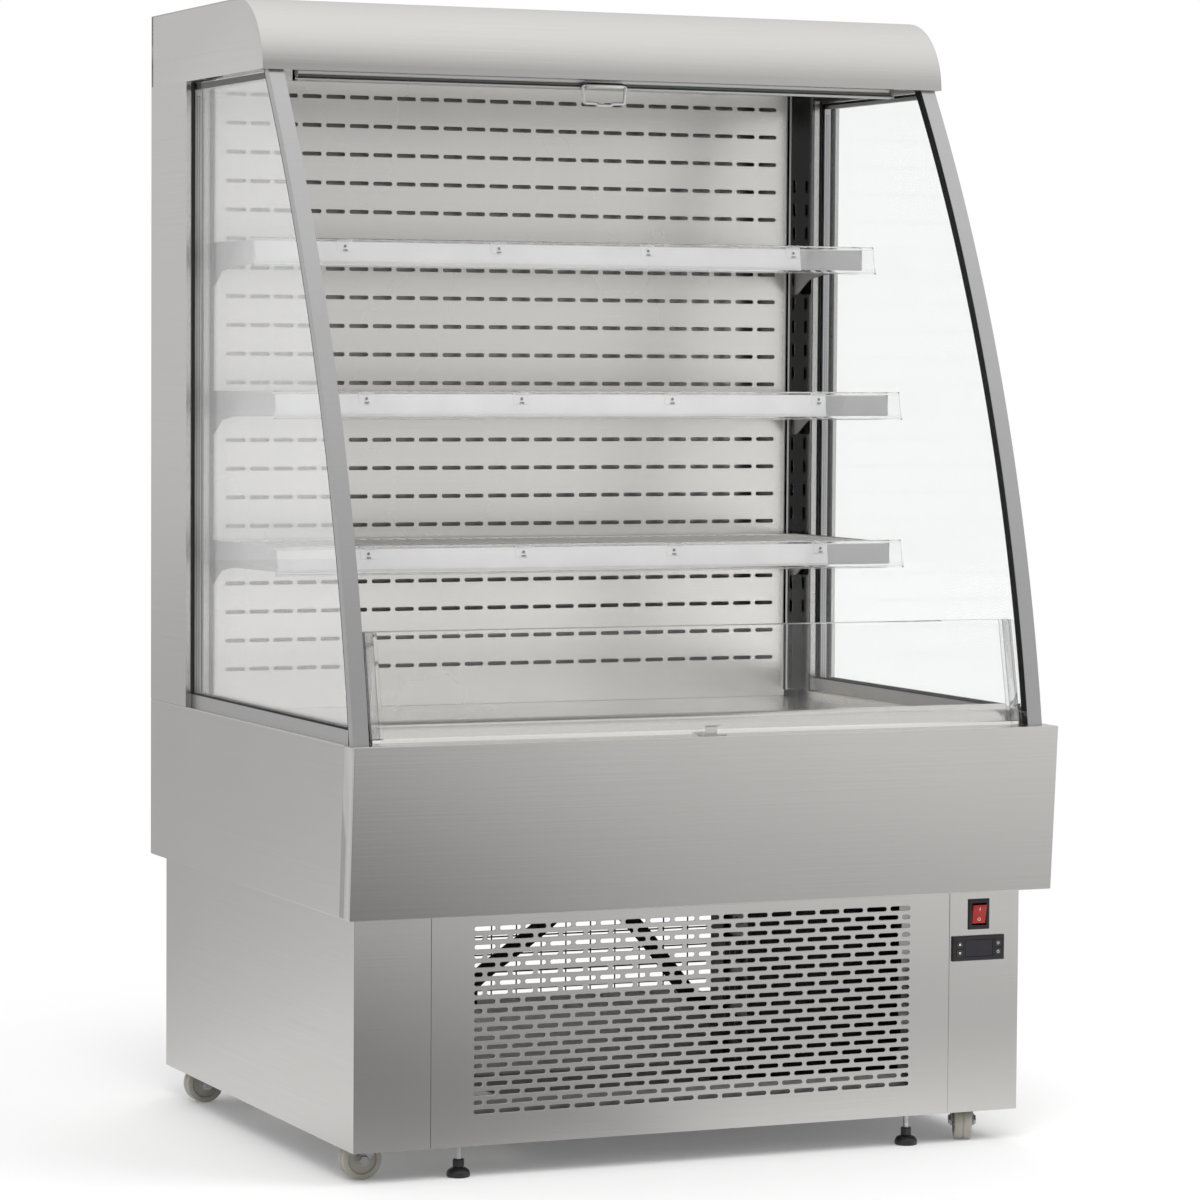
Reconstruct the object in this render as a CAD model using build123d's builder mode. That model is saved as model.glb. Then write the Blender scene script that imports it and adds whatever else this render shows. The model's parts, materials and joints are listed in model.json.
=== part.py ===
"""Open multideck display fridge on casters, with a night blind.

Millimetres, +Z up, front towards -Y, x = 0 in the middle of the width and z = 0 on the floor.
"""
from build123d import *
import os
from math import cos, radians, sin, sqrt

os.makedirs("parts", exist_ok=True)

# Overall size
WIDTH, DEPTH, HEIGHT = 950.0, 790.0, 1450.0
SHEET = 1.2                     # stainless sheet

# Base cabinet
BASE_WIDTH, BASE_DEPTH = 906.0, 731.0
BASE_BOTTOM, BASE_TOP = 41.0, 340.0
TRAY_Z = 70.0                   # underside of the floor pan
SEAM_X, FOLD = 353.0, 14.0      # seams each side of the grille, depth of the edge folds
SLOT_LONG, SLOT_HIGH = 28.0, 5.6
SLOT_PITCH, SLOT_ROWS, SLOT_ROW_PITCH = 33.3, 21, 11.2
GRILLE_MID_Z = 194.6

# Band round the well
BAND_BOTTOM, BAND_TOP = 328.3, 537.8
FASCIA_LEAN = 15.4              # how far its foot stands back from its top
FASCIA_RETURN = 35.0

# Well
DECK_Z = 528.0
WELL_X, WELL_FRONT = 440.0, 712.0
WALL = 50.0                     # insulated rear wall

FAN_Z = BASE_TOP + 112         # evaporator fan
DRAIN_X, PIPE_D = -60.0, 460.0  # drain hole, and depth of the pipes under the well
COMPRESSOR_X, COMPRESSOR_D = 300.0, 330.0

# Pillars and air panel
PILLAR_DEPTH, PILLAR_INNER_X = 150.0, 437.0
CANOPY_Z = 1356.0               # underside of the canopy
PANEL_D, PANEL_X = 106.0, 417.5
PANEL_ROWS, PANEL_ROW_PITCH, PANEL_ROW_Z = 21, 38.1, 582.7

# Canopy nose
NOSE_FLAT_D, NOSE_D = 352.0, 453.5

# Curved side panes
ARC_D, ARC_Z, ARC_R = -1295.0, 221.1, 2081.3
PANE_OUTER_X, PANE_INNER_X, PANE = 464.8, 447.9, 4.0
TRIM_X0, TRIM_X1, TRIM_DEPTH = 446.2, 466.5, 13.0
CHANNEL_TOP = 554.5

# Low front pane
FRONT_PANE_X, FRONT_PANE = 438.0, 6.0
FRONT_PANE_TOP, FRONT_PANE_FOOT = (722.5, 670.2), (750.0, 541.0)

# Shelves: distance of the ticket strip from the back, top of the strip
SHELVES = {"top": (327.0, 1151.0), "middle": (408.0, 956.3), "bottom": (417.0, 759.3)}
STRIP_HIGH, SHELF_X, STRIP_X = 37.0, 423.0, 440.0

# Night blind
BAR_D, BAR_Z, BAR_X = 415.0, 1354.0, 421.0
PIVOT_Z = 1350.0
ROLLER_D, ROLLER_Z = 380.0, 1398.0
ROLL_R = 20.0

# Switch and controller
SWITCH_X, SWITCH_Z = 394.9, 294.6
CONTROL_X, CONTROL_Z, CONTROL_W, CONTROL_H = 394.0, 251.4, 74.0, 32.0
CUT_W, CUT_H = 71.0, 29.0

# Casters and feet
CASTER_X, CASTER_FRONT, CASTER_BACK = 402.0, 675.0, 73.0
WHEEL_R, WHEEL_W, TRAIL = 25.0, 22.0, 22.0
AXLE_R, SHAFT_R, FIT = 4.0, 3.0, 0.05
FOOT_X, FOOT_D, STEM_R = 307.0, 706.0, 4.0
CASTERS = {
    "front_left": (-CASTER_X, CASTER_FRONT, 180.0),
    "front_right": (CASTER_X, CASTER_FRONT, -113.4),
    "rear_left": (-CASTER_X, CASTER_BACK, 180.0),
    "rear_right": (CASTER_X, CASTER_BACK, 180.0),
}


def back(d):
    """Y of the plane that stands d in front of the fridge's back."""
    return DEPTH / 2 - d


def front(d):
    """Plane facing the front at distance d from the back: local x is X, local y is Z."""
    return Plane(origin=(0, back(d), 0), x_dir=(1, 0, 0), z_dir=(0, -1, 0))


def side(x=0.0):
    """Plane facing +X: local x is Y, local y is Z."""
    return Plane.YZ.offset(x)


def arc_y(z, inset=0.0):
    """Y of the side panes' front curve at height z."""
    return back(ARC_D) - sqrt((ARC_R - inset) ** 2 - (z - ARC_Z) ** 2)


def folded(*points, thick=SHEET, inside=Side.LEFT):
    """Cross-section of a folded sheet: a bent line with its thickness laid to one side."""
    with BuildSketch(mode=Mode.PRIVATE) as section:
        with BuildLine():
            Polyline(*points)
            offset(amount=thick, side=inside, kind=Kind.INTERSECTION)
        make_face()
    return section.sketch


def outline(*points):
    """Plane face from its corners."""
    with BuildSketch(mode=Mode.PRIVATE) as face:
        with BuildLine():
            Polyline(*points, close=True)
        make_face()
    return face.sketch


def save(part, label):
    part.label = label
    export_step(part, f"parts/{label}.step")


# Base cabinet ---------------------------------------------------------------

def base_tray():
    """Folded floor pan, open left of the machinery, with the caster plates and bosses for the feet."""
    feet = [(s * FOOT_X, back(FOOT_D)) for s in (-1, 1)]
    swivels = [(x, back(d)) for x, d, heading in CASTERS.values()]
    with BuildPart() as tray:
        with BuildSketch(Plane.XY.offset(TRAY_Z)):
            with Locations((0, back((SHEET + BASE_DEPTH - FOLD) / 2))):
                Rectangle(BASE_WIDTH - 2 * SHEET, BASE_DEPTH - FOLD - SHEET)
        extrude(amount=30)
        offset(amount=-1.5, openings=tray.faces().sort_by(Axis.Z)[-1])
        with BuildSketch(Plane.XY.offset(TRAY_Z)):
            with Locations((-285, back(395))):
                Rectangle(170, 570)
        extrude(amount=5, mode=Mode.SUBTRACT)
        with BuildSketch(Plane.XY.offset(TRAY_Z)):
            with Locations(*swivels):
                Rectangle(56, 56)
        extrude(amount=-3)
        with BuildSketch(Plane.XY.offset(TRAY_Z)):
            with Locations(*feet):
                RegularPolygon(7.5, 6)
        extrude(amount=-8)
        with Locations(*[(x, y, TRAY_Z + 1.5) for x, y in feet]):
            Hole(STEM_R + FIT, depth=12)
        with Locations(*[(x, y, TRAY_Z + 1.5) for x, y in swivels]):
            Hole(AXLE_R + FIT, depth=6)
    save(tray.part, "base_tray")


def base_side(sign, label):
    """Side panel folded round the front corner, with a rear and a top fold."""
    x, seam = sign * BASE_WIDTH / 2, sign * (SEAM_X + 0.4)
    with BuildPart() as panel:
        with BuildSketch(Plane.XY.offset(BASE_BOTTOM)):
            add(folded((x - sign * 20, back(0)), (x, back(0)), (x, back(BASE_DEPTH)),
                       (seam, back(BASE_DEPTH)), (seam, back(BASE_DEPTH - FOLD)),
                       inside=Side.RIGHT if sign > 0 else Side.LEFT))
        extrude(amount=BASE_TOP - BASE_BOTTOM)
        with BuildSketch(front(SHEET)):
            with Locations((x - sign * (SHEET + 9), BASE_TOP - SHEET / 2)):
                Rectangle(18, SHEET)
        extrude(amount=BASE_DEPTH - 2 * SHEET)
        if sign > 0:
            with BuildSketch(front(BASE_DEPTH)):
                with Locations((SWITCH_X, SWITCH_Z)):
                    Rectangle(27, 35)
                with Locations((CONTROL_X, CONTROL_Z)):
                    Rectangle(CUT_W, CUT_H)
            extrude(amount=-5, mode=Mode.SUBTRACT)
    save(panel.part, label)


def front_grille():
    """Grille panel folded back at its edges; its staggered slots are run together in sixes and fives."""
    six, five = 5 * SLOT_PITCH + SLOT_LONG, 4 * SLOT_PITCH + SLOT_LONG
    end_low, end_high = 8 * SLOT_PITCH - SLOT_LONG / 2, 8.5 * SLOT_PITCH + SLOT_LONG / 2
    low, high = BASE_BOTTOM, BASE_TOP - 4
    half_rows = (SLOT_ROWS - 1) // 2
    with BuildPart() as grille:
        with BuildSketch(Plane.XY.offset(low)):
            add(folded((-SEAM_X, back(BASE_DEPTH - FOLD)), (-SEAM_X, back(BASE_DEPTH)),
                       (SEAM_X, back(BASE_DEPTH)), (SEAM_X, back(BASE_DEPTH - FOLD))))
        extrude(amount=high - low)
        with BuildSketch(front(BASE_DEPTH)):
            with Locations((0, GRILLE_MID_Z)):
                for long, pitch, rows in ((six, 6, half_rows + 1), (five, 5, half_rows)):
                    with GridLocations(pitch * SLOT_PITCH, 2 * SLOT_ROW_PITCH, 3, rows):
                        Rectangle(long, SLOT_HIGH)
                with GridLocations(end_low + end_high, 2 * SLOT_ROW_PITCH, 2, half_rows):
                    Rectangle(end_high - end_low, SLOT_HIGH)
        extrude(amount=-2 * SHEET, mode=Mode.SUBTRACT)
    save(grille.part, "front_grille")


def rear_guard():
    """Wire guard over the open back of the base: a net with a border wire."""
    across, up, pitch, wire = 12, 3, 72.0, 3.0
    with BuildPart() as guard:
        with BuildSketch(front(SHEET + wire)):
            with Locations((0, 218)):
                Rectangle(across * pitch + 2 * wire, up * pitch + 2 * wire)
                with GridLocations(pitch, pitch, across, up):
                    Rectangle(pitch - wire, pitch - wire, mode=Mode.SUBTRACT)
        extrude(amount=wire)
    save(guard.part, "rear_guard")


# Band and well --------------------------------------------------------------

def fascia_d(z):
    """Distance from the back of the leaning front face at height z."""
    return DEPTH - FASCIA_LEAN * (BAND_TOP - z) / (BAND_TOP - BAND_BOTTOM)


def front_fascia():
    """Leaning front of the band with top and bottom folds and side returns."""
    foot = fascia_d(BAND_BOTTOM)
    with BuildPart() as fascia:
        with BuildSketch(side()):
            add(folded((back(DEPTH - FASCIA_RETURN), BAND_TOP), (back(DEPTH), BAND_TOP),
                       (back(foot), BAND_BOTTOM), (back(foot - FASCIA_RETURN), BAND_BOTTOM)))
        extrude(amount=WIDTH / 2, both=True)
        for x in (-WIDTH / 2, WIDTH / 2 - SHEET):
            with BuildSketch(side(x)):
                add(outline((back(DEPTH - FASCIA_RETURN), BAND_TOP), (back(DEPTH), BAND_TOP),
                            (back(foot), BAND_BOTTOM), (back(foot - FASCIA_RETURN), BAND_BOTTOM)))
            extrude(amount=SHEET)
    save(fascia.part, "front_fascia")


def band_side(sign, label):
    """Side panel of the band with a top fold under the glass and a bottom fold."""
    x, gap = sign * WIDTH / 2, 0.5
    foot = fascia_d(BAND_BOTTOM)
    with BuildPart() as panel:
        with BuildSketch(front(0)):
            add(folded((x - sign * 29, BAND_TOP), (x, BAND_TOP), (x, BAND_BOTTOM),
                       (x - sign * 18, BAND_BOTTOM),
                       inside=Side.RIGHT if sign > 0 else Side.LEFT))
        extrude(amount=DEPTH - FASCIA_RETURN - gap)
        with BuildSketch(side()):
            add(outline((back(foot - FASCIA_RETURN - gap), BAND_BOTTOM - 1),
                        (back(DEPTH - FASCIA_RETURN - gap), BAND_TOP + 1),
                        (back(DEPTH), BAND_TOP + 1), (back(DEPTH), BAND_BOTTOM - 1)))
        extrude(amount=WIDTH, both=True, mode=Mode.SUBTRACT)
    save(panel.part, label)


def insulated_tub():
    """Foamed well with its drain hole, open at the top and towards the rear duct."""
    x, rim = WIDTH / 2 - SHEET - 0.3, BAND_TOP - SHEET - 0.1
    with BuildPart() as tub:
        with BuildSketch(side()):
            add(outline((back(WALL), BASE_TOP), (back(fascia_d(BASE_TOP) - 2), BASE_TOP),
                        (back(fascia_d(rim) - 2), rim), (back(WALL), rim)))
        extrude(amount=x, both=True)
        with BuildSketch(Plane.XY.offset(BASE_TOP + 38)):
            with Locations((0, back((WALL + WELL_FRONT) / 2))):
                Rectangle(2 * WELL_X, WELL_FRONT - WALL)
        extrude(amount=200, mode=Mode.SUBTRACT)
        with Locations((DRAIN_X, back(PIPE_D), BASE_TOP + 38)):
            Hole(9, depth=60)
    save(tub.part, "insulated_tub")


def deck_pan():
    """Flat deck over the evaporator, turned up at its sides and front."""
    with BuildPart() as deck:
        with BuildSketch(front(PANEL_D + 2)):
            add(folded((-WELL_X + 0.5, DECK_Z + 8), (-WELL_X + 0.5, DECK_Z - 1.5),
                       (WELL_X - 0.5, DECK_Z - 1.5), (WELL_X - 0.5, DECK_Z + 8), thick=1.5))
        extrude(amount=WELL_FRONT - PANEL_D - 4.5)
        with BuildSketch(Plane.XY.offset(DECK_Z - 1.5)):
            for s in (-1, 1):
                with Locations((s * 300, back(200)), (s * 300, back(600))):
                    Rectangle(30, 12)
        extrude(amount=-(DECK_Z - 1.5 - BASE_TOP - 38))
    save(deck.part, "deck_pan")


def front_sill():
    """Rounded inner lip of the well, behind the low front pane."""
    rear, rim, top = WELL_FRONT - 2, BAND_TOP - SHEET - 0.1, 561.0
    with BuildPart() as sill:
        with BuildSketch(side()):
            with BuildLine():
                Polyline((back(722), top), (back(rear), top), (back(rear), DECK_Z),
                         (back(WELL_FRONT), DECK_Z), (back(WELL_FRONT), rim), (back(742), rim))
                RadiusArc((back(742), rim), (back(722), top), 24)
            make_face()
        extrude(amount=FRONT_PANE_X + 1, both=True)
    save(sill.part, "front_sill")


# Rear wall, air panel, uprights ---------------------------------------------

def wall_section(inset):
    """Plan of the rear wall with its two pillars, each notched for the glass."""
    deep, inner = PILLAR_DEPTH - inset, PILLAR_INNER_X + inset
    notch_x, notch_d = (TRIM_X0 + TRIM_X1) / 2, PILLAR_DEPTH - 22 - inset
    notch = (TRIM_X1 - TRIM_X0 + 1) / 2 + inset
    with BuildSketch(mode=Mode.PRIVATE) as section:
        with Locations((0, back((deep + inset) / 2))):
            Rectangle(WIDTH - 2 * inset, deep - inset)
        with Locations((0, back((WALL - inset + deep) / 2))):
            Rectangle(2 * inner, deep - WALL + inset, mode=Mode.SUBTRACT)
        with Locations(*[(s * notch_x, back((notch_d + deep) / 2)) for s in (-1, 1)]):
            Rectangle(2 * notch, deep - notch_d, mode=Mode.SUBTRACT)
    return section.sketch


def rear_wall():
    """Skins of the insulated rear wall and its two side pillars, open at their ends."""
    low_x, rim = WIDTH / 2 - SHEET - 0.3, BAND_TOP - SHEET - 0.1
    with BuildPart() as wall:
        with BuildSketch(Plane.XY.offset(BAND_TOP)):
            add(wall_section(0))
            add(wall_section(SHEET), mode=Mode.SUBTRACT)
        extrude(amount=CANOPY_Z - BAND_TOP)
        for width, low, high in ((low_x, BASE_TOP, rim), (PILLAR_INNER_X, rim, BAND_TOP)):
            with BuildSketch(Plane.XY.offset(low)):
                with Locations((0, back(SHEET / 2)), (0, back(WALL - SHEET / 2))):
                    Rectangle(2 * width, SHEET)
            extrude(amount=high - low)
    save(wall.part, "rear_wall")


def air_panel():
    """Slotted air panel with folded sides; twelve slots of a row are run into one."""
    columns, pitch, long = 2, 402.9, 396.3
    with BuildPart() as panel:
        with BuildSketch(Plane.XY.offset(DECK_Z)):
            add(folded((-PANEL_X, back(WALL)), (-PANEL_X, back(PANEL_D)),
                       (PANEL_X, back(PANEL_D)), (PANEL_X, back(WALL))))
        extrude(amount=CANOPY_Z + 8 - DECK_Z)
        with BuildSketch(front(PANEL_D)):
            mid = PANEL_ROW_Z + (PANEL_ROWS - 1) / 2 * PANEL_ROW_PITCH
            with Locations((0, mid)):
                with GridLocations(pitch, PANEL_ROW_PITCH, columns, PANEL_ROWS):
                    Rectangle(long, 5.2)
        extrude(amount=-2 * SHEET, mode=Mode.SUBTRACT)
    save(panel.part, "air_panel")


def shelf_uprights():
    """Two angle uprights with a column of slots for the bracket hooks."""
    thick, outer, foot = 2.0, PILLAR_INNER_X - 1, BAND_TOP - SHEET - 0.1
    with BuildPart() as uprights:
        for s in (-1, 1):
            with BuildSketch(Plane.XY.offset(foot)):
                add(folded((s * (PANEL_X + 2), back(WALL)), (s * (PANEL_X + 2), back(PANEL_D + 6)),
                           (s * outer, back(PANEL_D + 6)), (s * outer, back(PILLAR_DEPTH)),
                           thick=thick, inside=Side.RIGHT if s > 0 else Side.LEFT))
            extrude(amount=CANOPY_Z + 8 - foot)
        with BuildSketch(front(PANEL_D + 6)):
            for s in (-1, 1):
                with Locations((s * (SHELF_X + 1.5), 905)):
                    with GridLocations(1, 65, 1, 11):
                        Rectangle(4.6, 17)
        extrude(amount=-2 * thick, mode=Mode.SUBTRACT)
    save(uprights.part, "shelf_uprights")


# Canopy ---------------------------------------------------------------------

def nose_section(inset):
    """Canopy section: vertical back, flat top and quarter-round nose, open below."""
    top, tip = HEIGHT - inset, back(NOSE_D) + inset
    low = CANOPY_Z
    with BuildSketch(mode=Mode.PRIVATE) as section:
        with BuildLine():
            start = (back(NOSE_FLAT_D), top)
            Polyline((tip, low), (back(inset), low), (back(inset), top), start)
            EllipticalCenterArc((back(NOSE_FLAT_D), low), back(NOSE_FLAT_D) - tip, top - low,
                                start_angle=90, arc_size=90)
        make_face()
    return section.sketch


def canopy_shell():
    """Rolled canopy sheet with its lip, its two end plates and the roller's end bearings."""
    with BuildPart() as canopy:
        with BuildSketch(side()):
            add(nose_section(0))
            add(nose_section(SHEET), mode=Mode.SUBTRACT)
        extrude(amount=WIDTH / 2, both=True)
        with BuildSketch(Plane.XY.offset(CANOPY_Z)):
            with Locations((0, back(NOSE_D - 9))):
                Rectangle(WIDTH, 18)
        extrude(amount=SHEET)
        for s in (-1, 1):
            x = s * (WIDTH / 2 - 1)
            with BuildSketch(side(x)):
                add(nose_section(SHEET))
            extrude(amount=-s * SHEET)
            with BuildSketch(side(x)):
                with Locations((back(ROLLER_D), ROLLER_Z)):
                    Rectangle(26, 24)
            extrude(amount=-s * 14)
            with BuildSketch(side(x - s * 14)):
                with Locations((back(ROLLER_D), ROLLER_Z)):
                    Circle(5 + FIT)
            extrude(amount=s * 12, mode=Mode.SUBTRACT)
    save(canopy.part, "canopy_shell")


def canopy_soffit():
    """Underside of the canopy with the comb of the air outlet at its front."""
    depth, comb_x, cells = 250.0, 400.0, 10
    x = WIDTH / 2 - 2 - SHEET
    with BuildPart() as soffit:
        with BuildSketch(Plane.XY.offset(CANOPY_Z + 8)):
            with Locations((0, back(PANEL_D + 2 + depth / 2))):
                Rectangle(2 * SHELF_X, depth)
            with Locations((0, back(335))):
                with GridLocations(2 * comb_x / cells, 1, cells, 1):
                    Rectangle(2 * comb_x / cells - 3, 42, mode=Mode.SUBTRACT)
        extrude(amount=SHEET)
        with BuildSketch(Plane.XY.offset(CANOPY_Z + 8)):
            for s in (-1, 1):
                with Locations((s * (SHELF_X + x) / 2, back(255))):
                    Rectangle(x - SHELF_X, 205)
        extrude(amount=SHEET)
    save(soffit.part, "canopy_soffit")


# Night blind ----------------------------------------------------------------

def blind_roller():
    """Roller tube with the wound fabric and its two end pins."""
    with BuildPart() as roller:
        with BuildSketch(side()):
            with Locations((back(ROLLER_D), ROLLER_Z)):
                Circle(ROLL_R)
        extrude(amount=BAR_X - 6, both=True)
        with BuildSketch(side()):
            with Locations((back(ROLLER_D), ROLLER_Z)):
                Circle(5)
        extrude(amount=WIDTH / 2 - 5, both=True)
    save(roller.part, "blind_roller")


def blind_fabric():
    """Free stretch of the blind's fabric from the roll down to the pull bar."""
    with BuildPart() as fabric:
        with BuildSketch(side()):
            add(outline((back(ROLLER_D + ROLL_R + 0.6), ROLLER_Z),
                        (back(ROLLER_D + ROLL_R + 1.2), ROLLER_Z),
                        (back(BAR_D + 0.3), BAR_Z + 11.3), (back(BAR_D - 0.3), BAR_Z + 11.3)))
        extrude(amount=BAR_X - 8, both=True)
    save(fabric.part, "blind_fabric")


def blind_pull_bar():
    """Extruded pull bar with the screwed plate that carries the bail handle."""
    with BuildPart() as bar:
        with BuildSketch(side()):
            with BuildLine():
                Polyline((back(BAR_D + 5), BAR_Z - 4), (back(BAR_D + 3), BAR_Z - 4),
                         (back(BAR_D + 3), BAR_Z + 11), (back(BAR_D - 4), BAR_Z + 11),
                         (back(BAR_D - 4), BAR_Z - 9), (back(BAR_D + 5), BAR_Z - 9))
                RadiusArc((back(BAR_D + 5), BAR_Z - 9), (back(BAR_D + 5), BAR_Z - 4), -2.6)
            make_face()
        extrude(amount=BAR_X, both=True)
        with BuildSketch(front(BAR_D + 3)):
            with Locations((0, BAR_Z + 1)):
                Rectangle(49, 18)
        extrude(amount=6)
        with BuildSketch(side()):
            with Locations((back(BAR_D + 9), PIVOT_Z)):
                Circle(3.2)
        extrude(amount=26, both=True)
        with BuildSketch(side(-27)):
            with Locations((back(BAR_D + 9), PIVOT_Z)):
                Circle(1.5 + FIT)
        extrude(amount=8, mode=Mode.SUBTRACT)
        with BuildSketch(side(27)):
            with Locations((back(BAR_D + 9), PIVOT_Z)):
                Circle(1.5 + FIT)
        extrude(amount=-8, mode=Mode.SUBTRACT)
    save(bar.part, "blind_pull_bar")


def blind_handle():
    """Bail handle: a bent strap with a dropped middle, on two short pins."""
    d, x, low, strap = BAR_D + 9, 30.0, PIVOT_Z - 27.0, 3.2
    with BuildPart() as bail:
        with BuildSketch(front(d + strap / 2)):
            add(folded((-x, PIVOT_Z + 2), (-x + 2, low + 3), (-12, low + 3), (-9, low),
                       (9, low), (12, low + 3), (x - 2, low + 3), (x, PIVOT_Z + 2),
                       thick=strap))
        extrude(amount=-strap)
        for end in (-1, 1):
            with BuildSketch(side(end * (x - 1))):
                with Locations((back(d), PIVOT_Z)):
                    Circle(1.5)
            extrude(amount=-end * 8)
    save(bail.part, "blind_handle")


def sill_catch():
    """Bent catch on the front lip that the bail handle is hooked under."""
    with BuildPart() as catch:
        with BuildSketch(Plane.XY.offset(BAND_TOP)):
            with Locations((0, back(772))):
                Rectangle(34, 12)
        extrude(amount=1.2)
        with BuildSketch(side()):
            add(folded((back(767), BAND_TOP), (back(767), BAND_TOP + 11),
                       (back(776), BAND_TOP + 13), thick=1.5))
        extrude(amount=8, both=True)
    save(catch.part, "sill_catch")


# Glass ----------------------------------------------------------------------

def curved_face(rear_d, low, high, inset):
    """Outline in the side plane with a straight rear edge and the curved front edge."""
    with BuildSketch(mode=Mode.PRIVATE) as face:
        with BuildLine():
            mid = (low + high) / 2
            Polyline((arc_y(low, inset), low), (back(rear_d), low), (back(rear_d), high),
                     (arc_y(high, inset), high))
            ThreePointArc((arc_y(high, inset), high), (arc_y(mid, inset), mid),
                          (arc_y(low, inset), low))
        make_face()
    return face.sketch


def side_glass(sign, label):
    """Double side unit: an outer and an inner pane with a curved front edge."""
    with BuildPart() as glass:
        for x in (PANE_OUTER_X - PANE, PANE_INNER_X):
            with BuildSketch(side(sign * x)):
                add(curved_face(PILLAR_DEPTH - 18, BAND_TOP + 3, CANOPY_Z, 2))
            extrude(amount=sign * PANE)
    save(glass.part, label)


def glass_spacers():
    """Spacer frames between the two panes of each side unit."""
    width, low, high = 8.0, BAND_TOP + 6, CANOPY_Z - 3
    with BuildPart() as spacers:
        for s in (-1, 1):
            with BuildSketch(side(s * (PANE_INNER_X + PANE))):
                add(curved_face(PILLAR_DEPTH - 6, low, high, 5))
                add(curved_face(PILLAR_DEPTH - 6 + width, low + width, high - width, 5 + width),
                    mode=Mode.SUBTRACT)
            extrude(amount=s * (PANE_OUTER_X - PANE_INNER_X - 2 * PANE))
    save(spacers.part, "glass_spacers")


def glass_trim(sign, label):
    """Curved channel over the front edge of a side unit."""
    low, high, wall = BAND_TOP, CANOPY_Z, 1.4
    with BuildPart() as trim:
        with BuildSketch(side(sign * TRIM_X0)):
            add(curved_face(100, low, high, 0))
            add(curved_face(90, low - 1, high + 1, TRIM_DEPTH), mode=Mode.SUBTRACT)
        extrude(amount=sign * (TRIM_X1 - TRIM_X0))
        with BuildSketch(side(sign * (TRIM_X0 + wall))):
            add(curved_face(100, low - 2, high + 2, wall))
            add(curved_face(90, low - 3, high + 3, TRIM_DEPTH + 1), mode=Mode.SUBTRACT)
        extrude(amount=sign * (TRIM_X1 - TRIM_X0 - 2 * wall), mode=Mode.SUBTRACT)
    save(trim.part, label)


def glass_channels():
    """Bottom channels that the side units stand in."""
    inner, outer, wall = TRIM_X0 - 0.2, TRIM_X1, 1.4
    front_end = DEPTH / 2 - arc_y(CHANNEL_TOP, TRIM_DEPTH + 0.5)
    with BuildPart() as channels:
        for s in (-1, 1):
            with BuildSketch(front(PILLAR_DEPTH - 22)):
                add(folded((s * inner, CHANNEL_TOP), (s * inner, BAND_TOP),
                           (s * outer, BAND_TOP), (s * outer, CHANNEL_TOP), thick=wall,
                           inside=Side.LEFT if s > 0 else Side.RIGHT))
            extrude(amount=front_end - PILLAR_DEPTH + 22)
    save(channels.part, "glass_channels")


def front_glass():
    """Low leaning pane behind the front lip."""
    (top_d, top_z), (foot_d, foot_z) = FRONT_PANE_TOP, FRONT_PANE_FOOT
    with BuildPart() as pane:
        with BuildSketch(side()):
            add(outline((back(top_d), top_z), (back(foot_d), BAND_TOP),
                        (back(foot_d - FRONT_PANE), BAND_TOP), (back(top_d - FRONT_PANE), top_z)))
        extrude(amount=FRONT_PANE_X, both=True)
    save(pane.part, "front_glass")


# Shelves --------------------------------------------------------------------

def shelf_grid(label, d, z):
    """Wire shelf: border wires with cross wires from front to back."""
    gaps, wire, top = 11, 4.0, z - 4
    rear = PANEL_D + 10
    depth = d - 5 - rear
    with BuildPart() as grid:
        with BuildSketch(Plane.XY.offset(top - wire)):
            with Locations((0, back(rear + depth / 2))):
                Rectangle(2 * SHELF_X, depth)
                pitch = (2 * SHELF_X - wire) / gaps
                with GridLocations(pitch, 1, gaps, 1):
                    Rectangle(pitch - wire, depth - 2 * wire, mode=Mode.SUBTRACT)
        extrude(amount=wire)
    save(grid.part, f"shelf_{label}")


def shelf_brackets():
    """Tapered, hooked brackets under both ends of each shelf."""
    thick, x, rear = 2.0, SHELF_X + 0.5, PANEL_D + 8
    with BuildPart() as brackets:
        for d, z in SHELVES.values():
            for s in (-1, 1):
                with BuildSketch(side(s * x)):
                    add(outline((back(rear), z - 3), (back(d - 5), z - 3), (back(d - 5), z - 33),
                                (back(rear + 50), z - 42), (back(rear + 16), z - 62),
                                (back(rear), z - 62)))
                extrude(amount=s * thick)
    save(brackets.part, "shelf_brackets")


def price_strip(label, d, z):
    """Clear ticket strip with its upper and lower lips, and four clips behind it."""
    with BuildPart() as strip:
        with BuildSketch(side()):
            add(folded((back(d - 4), z - 4), (back(d), z), (back(d + 6), z - STRIP_HIGH),
                       (back(d - 4), z - STRIP_HIGH), thick=2.0, inside=Side.RIGHT))
        extrude(amount=STRIP_X, both=True)
        with BuildSketch(Plane.XY.offset(z - 10)):
            with Locations((0, back(d - 2))):
                with GridLocations(213, 1, 4, 1):
                    Rectangle(14, 6)
        extrude(amount=7)
    save(strip.part, f"price_strip_{label}")


# Cooling --------------------------------------------------------------------

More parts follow.
